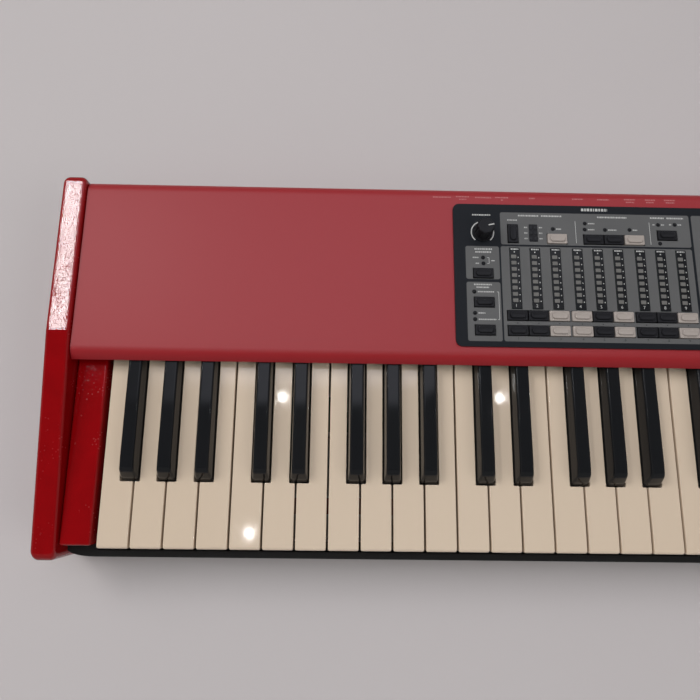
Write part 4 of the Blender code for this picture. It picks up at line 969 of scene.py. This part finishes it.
def buildKnobs():
    for node, turn in knobTurns.items():
        x, y = jointPlace(node)
        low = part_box(node)[0][2] / mm
        makePiece(node + "_fine", [knobShape(x, y, low)], paint["darkCap"], node, replaces=[node])
        top = panel["top"] + knob["lift"] + knob["height"]
        half = pointer["wide"] / 2
        points, faces = block(rectangle(pointer["from"], pointer["to"], -half, half, 0.3), top - pointer["sunk"],
                              top + pointer["rise"], 0.08, 2)
        a = math.radians(turn)
        turnMatrix = np.array(((math.cos(a), math.sin(a), 0), (-math.sin(a), math.cos(a), 0), (0, 0, 1)))
        makePiece(node + "_pointer", [moved((points @ turnMatrix, faces), x, y)], paint["paleInk"], node)


lightBar = {"wide": 7.7, "high": 48.6, "y": 66.2, "top": 84.75, "cellWide": 3.9, "cellHigh": 2.9, "cellShift": -0.9,
            "firstCell": 83.2, "lastCell": 48.5, "cells": 8, "markShift": (2.5, -0.6), "mark": (0.7, 0.9, 0.15)}


def buildLightBars():
    bezels, lenses, marks = [], [], []
    rows = np.linspace(lightBar["firstCell"], lightBar["lastCell"], lightBar["cells"])
    top = lightBar["top"]
    for index in range(columns["count"]):
        x = columnX(index)
        bezel = centredRectangle(x, lightBar["y"], lightBar["wide"], lightBar["high"], 0.5)
        bezels.append(block(bezel, top - 0.6, top, 0.12, 2))
        for y in rows:
            cell = centredRectangle(x + lightBar["cellShift"], y, lightBar["cellWide"], lightBar["cellHigh"], 0.35)
            lenses.append(block(cell, top - 0.1, top + 0.18, 0.1, 2))
            dx, dy = lightBar["markShift"]
            marks.append(block(centredRectangle(x + dx, y + dy, *lightBar["mark"]), top - 0.05, top + 0.03, 0.01, 1))
    makePiece("light_bar_bezels", bezels, paint["smokedLens"])
    makePiece("light_bar_cells", lenses, paint["lampLens"])
    makePiece("light_bar_marks", marks, paint["paleInk"])


lamp = {"radius": 1.15, "ring": 1.6, "rise": 0.45,
        "places": [(-170.9, 106.4), (-145.8, 111.4), (-146.2, 106.4), (-130.5, 106.4), (-111.3, 106.8), (-88.7, 111.4),
                   (-75.7, 111.7), (-88.5, 96.0), (-225.8, 82.1), (-225.6, 77.4), (-233.3, 54.9), (-233.3, 38.3),
                   (-233.3, 33.4)],
        "programY": 46.0, "matrixX": (-188.0, -184.5), "matrixY": (98.2, 102.75, 107.3),
        "matrixPlate": (-186.25, 102.75, 6.6, 14.2)}


def buildLamps():
    top = panel["top"]
    places = lamp["places"] + [(columnX(i, programStart), lamp["programY"]) for i in range(columns["count"])]
    rings, domes = [], []
    radius = lamp["radius"]
    t = np.radians(np.linspace(0, 80, 6))
    dome = [(radius, top)] + list(zip(radius * np.cos(t), top + 0.1 + lamp["rise"] * np.sin(t)))
    collar = [(lamp["ring"], top - 0.2), (lamp["ring"], top + 0.1), (lamp["ring"] - 0.15, top + 0.2),
              (radius, top + 0.2), (radius - 0.05, top)]
    for place in places:
        rings.append(turned(collar, place, 24))
        domes.append(turned(dome, place, 24))
    x, y, wide, high = lamp["matrixPlate"]
    rings.append(block(centredRectangle(x, y, wide, high, 0.5), top - 0.2, top + 0.25, 0.1, 2))
    for x in lamp["matrixX"]:
        for y in lamp["matrixY"]:
            domes.append(block(centredRectangle(x, y, 2.5, 3.2, 0.5), top, top + lamp["rise"], 0.15, 3))
    makePiece("lamp_rings", rings, paint["darkCap"])
    makePiece("lamp_domes", domes, paint["smokedLens"])


display = {"x": (89.0, 147.0), "y": (84.0, 108.0), "corner": 1.0, "sunk": 0.3, "rise": 0.5, "edge": 0.3}


def buildDisplay():
    glass = block(rectangle(*display["x"], *display["y"], display["corner"]), panel["top"] - display["sunk"],
                  panel["top"] + display["rise"], display["edge"], 3)
    makePiece("display_window", [glass], paint["displayGlass"])


ink = {"rise": 0.05, "sunk": 0.02, "dashes": (0.85, 0.5, 0.95, 0.7, 0.35, 0.9, 0.6), "space": 0.32, "taller": 1.35}


# Thin raised print: a bar between two points.
def inkBar(x0, y0, x1, y1, wide, z=panel["top"]):
    along = unit(np.array((x1 - x0, y1 - y0)))
    side = np.array((-along[1], along[0])) * wide / 2
    ends = np.array(((x0, y0), (x1, y1)))
    corners = [ends[0] - side, ends[1] - side, ends[1] + side, ends[0] + side]
    return stackShape([(*corner, 0.0) for corner in corners], [(0.0, z - ink["sunk"]), (0.0, z + ink["rise"])], 1)


# A word's place: a row of plain dashes of uneven lengths, which repeat every few and end where the word ends.
def inkWord(x0, y, x1, high, z=panel["top"]):
    made, at, count = [], x0, 0
    while at < x1 - 0.3:
        ahead = min(at + ink["dashes"][count % len(ink["dashes"])] * high, x1)
        made.append(inkBar(at, y, ahead, y, high, z))
        at, count = ahead + ink["space"] * high, count + 1
    return made


# Curved print: a ring sector between two angles, as a closed outline of its outer and inner arc.
def inkArc(x, y, radius, start, stop, wide):
    t = np.radians(np.linspace(start, stop, 49))
    ray = np.column_stack([np.cos(t), np.sin(t)])
    outer, inner = ((x, y) + r * ray for r in (radius + wide / 2, radius - wide / 2))
    plan = np.concatenate([outer, inner[::-1]])
    return ringShape([lifted(plan, panel["top"] + rise) for rise in (-ink["sunk"], ink["rise"])])


def numeralShape(text, x, y, size, z):
    data = bpy.data.curves.new("numeral", "FONT")
    data.body = text
    data.size = size
    data.align_x = data.align_y = "CENTER"
    data.extrude = 0.04
    data.resolution_u = 3
    holder = bpy.data.objects.new("numeral", data)
    bpy.context.scene.collection.objects.link(holder)
    mesh = bpy.data.meshes.new_from_object(holder.evaluated_get(bpy.context.evaluated_depsgraph_get()))
    points = np.empty(len(mesh.vertices) * 3)
    mesh.vertices.foreach_get("co", points)
    faces = [list(face.vertices) for face in mesh.polygons]
    bpy.data.objects.remove(holder)
    return moved((points.reshape(-1, 3), faces), x, y, z)


# Words as left, right, y and height; bars as two ends and a width; the cover's words as left, right and y.
panelWords = [
    (-197.4, -181.5, 117.0, 0.9), (-179.5, -163.1, 117.0, 0.9), (-135.8, -112.4, 116.8, 0.9),
    (-94.4, -83.5, 117.0, 0.9), (-81.5, -68.6, 117.0, 0.9), (-206.0, -198.0, 113.2, 0.7), (-232.1, -218.7, 89.0, 0.9),
    (-231.5, -219.5, 86.6, 0.9), (-233.3, -219.8, 60.6, 0.8), (-231.5, -221.5, 58.4, 0.8),
    (-230.6, -218.0, 54.9, 0.7), (-230.6, -225.5, 38.3, 0.7), (-230.6, -217.4, 33.4, 0.7),
    (-233.6, -229.0, 82.1, 0.7), (-231.5, -229.0, 77.4, 0.7), (-168.3, -164.6, 106.4, 0.7),
    (-143.3, -138.3, 111.4, 0.7), (-143.6, -138.6, 106.4, 0.7), (-128.0, -121.0, 106.4, 0.7),
    (-108.8, -105.4, 106.6, 0.7), (-92.9, -91.4, 111.4, 0.7), (-86.3, -84.0, 111.4, 0.7), (-80.0, -78.4, 111.7, 0.7),
    (-73.4, -70.6, 111.7, 0.7)]
panelBars = [
    (-153.3, 95.0, -153.3, 113.2, 0.35), (-95.6, 95.0, -95.6, 113.2, 0.35), (-214.9, 54.9, -214.9, 33.4, 0.35),
    (-216.2, 54.9, -214.9, 54.9, 0.35), (-216.2, 33.4, -214.9, 33.4, 0.35), (-222.7, 82.1, -221.2, 82.1, 0.35),
    (-222.7, 77.4, -221.2, 77.4, 0.35), (-221.2, 82.1, -221.2, 77.4, 0.35), (-219.5, 79.7, -217.0, 79.7, 0.7)]
coverWords = [
    (-262.9, -248.8, 131.9), (-244.9, -234.8, 132.6), (-242.4, -236.9, 130.4), (-230.0, -217.5, 132.2),
    (-214.3, -204.1, 132.4), (-209.8, -208.2, 130.4), (-187.7, -182.9, 132.2), (-153.8, -145.2, 132.3),
    (-134.1, -124.7, 132.2), (-112.8, -103.5, 132.7), (-111.5, -105.0, 130.5), (-96.3, -88.4, 132.7),
    (-95.5, -89.5, 130.6), (-81.2, -71.9, 132.8), (-80.0, -73.2, 130.7)]
dial = {"radius": 8.6, "level": (-48, 228, 0.9), "other": (-60, 240, 0.5), "wordHalf": 6, "wordDrop": 14}


# Plain strokes where a real panel has words, numerals under the buttons, and the dials' arcs.
def buildPanelPrint():
    pale, dark = [], []
    for node in knobTurns:
        x, y = jointPlace(node)
        if node == "level_knob":
            pale.append(inkArc(x, y, dial["radius"], *dial["level"]))
            continue
        pale.append(inkArc(x, y, dial["radius"], *dial["other"]))
        pale += inkWord(x - dial["wordHalf"], y - dial["wordDrop"], x + dial["wordHalf"], 1.0)
    pale += inkWord(-147.9, 122.8, -127.6, 2.2) + inkWord(-233.0, 117.0, -219.0, 1.1)
    for x0, x1, y, high in panelWords:
        pale += inkWord(x0, y, x1, high * ink["taller"])
    for y in lamp["matrixY"]:
        pale += inkWord(-193.2, y, -190.8, 1.0) + inkWord(-181.7, y, -179.3, 1.0)
    pale += [inkBar(*bar) for bar in panelBars]
    barTop = lightBar["top"]
    for index in range(columns["count"]):
        x = columnX(index)
        pale += inkWord(x - 2.9, 89.2, x + 2.9, 1.1, barTop) + inkWord(x - 0.7, 86.9, x + 0.7, 1.0, barTop)
        pale.append(numeralShape(str(index + 1), x - 0.6, 44.3, 3.4, barTop + 0.02))
        dark.append(numeralShape(str(index + 1), x, 19.2, 2.6, panel["top"] + 0.02))
        dark.append(inkBar(x, 31.4, x, 30.6, 0.8))
    makePiece("panel_pale_print", pale, paint["paleInk"])
    makePiece("panel_dark_print", dark, paint["darkInk"])


# Short strokes on the cover over the sockets.
def buildSocketPrint():
    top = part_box("top_cover")[1][2] / mm
    strokes = []
    for x0, x1, y in coverWords:
        strokes += inkWord(x0, y, x1, 1.0, top)
    makePiece("cover_print", strokes, paint["redInk"])


socket = {"z": 37.0, "face": 142.95, "nutFace": 141.75, "wall": 141.05, "nut": 6.5, "collar": (5.0, 2.9),
          "sleeve": 136.0, "jacks": (-256.0, -239.0, -223.0, -108.5, -92.0, -75.5), "small": -208.0,
          "smallCollar": (3.5, 1.65), "round": (-149.0, -129.0), "roundRing": (8.8, 6.85), "roundFace": 142.55,
          "pinRadius": 3.2, "pinAngles": (0, 45, 90, 135, 180), "pin": (0.75, 0.45), "pinSpan": (141.6, 141.9),
          "square": -184.0, "squareHalf": (5.2, 4.8), "squareCorner": 0.8, "squareWall": 0.7, "squareFace": 142.45}
inlet = {"x": 341.0, "mouth": 142.8, "pins": ((-7.0, 1.0), (0.0, 4.0), (7.0, 1.0)), "pinHalf": (1.08, 2.08),
         "pinReach": (3.5, 12.0)}
rocker = {"markZ": 5.5, "middleFace": 4.4, "upperFace": 4.054, "lowerFace": 5.946, "half": 9.0, "pivotFace": 136.8,
          "ring": (1.9, 1.3), "bar": (0.35, 1.9), "rise": 0.05}


# Collars, nuts and sleeves round the sockets' bores: closed profiles about Y, whose places are z and x.
def buildSockets():
    z, face, wall, sleeve = (socket[n] for n in ("z", "face", "wall", "sleeve"))
    collars, nuts, pins = [], [], []
    sizes = [(x, socket["collar"], socket["nut"]) for x in socket["jacks"]]
    for x, (outer, inner), nut in sizes + [(socket["small"], socket["smallCollar"], 0.0)]:
        profile = [(outer, wall), (outer, face - 0.2), (outer - 0.2, face), (inner + 0.2, face), (inner, face - 0.2),
                   (inner, sleeve), (inner + 0.06, sleeve), (inner + 0.15, wall)]
        collars.append(turnedLoop(profile, (z, x), 32, 2))
        if nut:
            top, hole = socket["nutFace"], outer - 0.1
            profile = [(nut, wall), (nut, top - 0.2), (nut - 0.3, top), (hole, top), (hole, wall)]
            nuts.append(turnedLoop(profile, (z, x), 6, 2))
    (outer, inner), top = socket["roundRing"], socket["roundFace"]
    (thick, thin), (low, high) = socket["pin"], socket["pinSpan"]
    for x in socket["round"]:
        profile = [(outer, wall), (outer, top - 0.3), (outer - 0.3, top), (inner + 0.2, top), (inner, top - 0.2),
                   (inner, wall)]
        collars.append(turnedLoop(profile, (z, x), 48, 2))
        for angle in np.radians(socket["pinAngles"]):
            place = (z + socket["pinRadius"] * math.sin(angle), x + socket["pinRadius"] * math.cos(angle))
            pins.append(turnedLoop([(thick, low), (thick, high), (thin, high), (thin, low)], place, 12, 2))
    (half, high), top, thick = socket["squareHalf"], socket["squareFace"], socket["squareWall"]
    rim = rectangle(z - high, z + high, socket["square"] - half, socket["square"] + half, socket["squareCorner"])
    pins.append(loopShape(stackRings(rim, [(0.0, wall), (0.0, top), (thick, top), (thick, wall)], 3, 2)))
    near, far = (inlet["mouth"] - reach for reach in inlet["pinReach"])
    halfX, halfZ = inlet["pinHalf"]
    for dx, dz in inlet["pins"]:
        x, pinZ = inlet["x"] + dx, z + dz
        outline = rectangle(pinZ - halfZ, pinZ + halfZ, x - halfX, x + halfX, 0.3)
        pins.append(stackShape(outline, [(0.0, far)] + roundOver(0.3, near, 3, 0.3), 3, 2))
    makePiece("socket_collars", collars, paint["darkCap"])
    makePiece("socket_nuts", nuts, paint["zinc"])
    makePiece("socket_contacts", pins, paint["brightSteel"])


# Plain bar and ring on the rocker, leaned onto its two faces: y grows with z by the face's own slope.
def buildRockerMarks():
    x = (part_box("power_switch")[0][0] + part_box("power_switch")[1][0]) / 2 / mm
    shapes = []
    for sign, edge in ((1, rocker["upperFace"]), (-1, rocker["lowerFace"])):
        slope = sign * (edge - rocker["middleFace"]) / rocker["half"]
        at = socket["z"] + sign * rocker["markZ"]
        face = rocker["pivotFace"] + rocker["middleFace"] + abs(rocker["markZ"]) * sign * slope
        if sign > 0:
            wide, high = rocker["bar"]
            outline = rectangle(at - high, at + high, x - wide, x + wide, 0.1)
            points, faces = stackShape(outline, [(0.0, face - 0.1), (0.0, face + rocker["rise"])], 2, 2)
        else:
            outer, inner = rocker["ring"]
            points, faces = turnedLoop([(outer, face - 0.1), (outer, face + rocker["rise"]),
                                        (inner, face + rocker["rise"]), (inner, face - 0.1)], (at, x), 32, 2)
        points[:, 1] += (points[:, 2] - at) * slope
        shapes.append((points, faces))
    makePiece("rocker_marks", shapes, paint["paleInk"], "power_switch")


screw = {"radius": 3.1, "high": 1.3, "recess": 1.1, "recessDepth": 0.8, "sunk": 0.15,
         "trayX": (-440, -264, -88, 88, 264, 440), "trayY": (-112.0, 122.0), "rearX": (-273.5, -58.0, 316.5, 388.0)}


# Domed screw head with a round recess, its profile as (radius, height over the wall).
def screwProfile():
    r, h, recess, floor = screw["radius"], screw["high"], screw["recess"], screw["high"] - screw["recessDepth"]
    return [(r, -screw["sunk"]), (r, 0.35), (r - 0.5, 0.9), (r - 1.3, h), (recess + 0.1, h + 0.02),
            (recess, h - 0.08), (recess - 0.1, floor), (0.2, floor)]


def buildScrews():
    under = [(r, -h) for r, h in reversed(screwProfile())]
    places = [(x, y) for y in screw["trayY"] for x in screw["trayX"]]
    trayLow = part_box("bottom_tray")[0][2] / mm
    tray = [moved(turned(under, place, 24), z=trayLow) for place in places]
    makePiece("tray_screws", tray, paint["blackSteel"])
    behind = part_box("top_cover")[1][1] / mm
    rear = [moved(turned(screwProfile(), (socket["z"], x), 24, 2), y=behind) for x in screw["rearX"]]
    makePiece("rear_screws", rear, paint["blackSteel"])


for build in (buildButtons, buildKnobs, buildLightBars, buildLamps, buildDisplay, buildPanelPrint, buildSocketPrint,
              buildSockets, buildRockerMarks, buildScrews):
    build()
print("control panel and sockets made")


# Finishes of the nodes that stay as they are

paint["panelPrint"] = panelMaterial()
nodePaint = {"bottom_tray": "blackSteel", "key_chassis": "zinc", "hinge_rod": "brightSteel", "stop_felt": "felt",
             "contact_board": "circuit", "panel_board": "circuit", "main_board": "circuit",
             "power_supply": "supplyMetal", "socket_strip": "darkCap", "mains_inlet": "darkCap",
             "power_switch": "darkCap", "control_panel": "panelPrint"}
for node, name in nodePaint.items():
    mesh = nodes[node].data
    mesh.materials.clear()
    mesh.materials.append(paint[name])
print("kept nodes painted:", len(nodePaint))
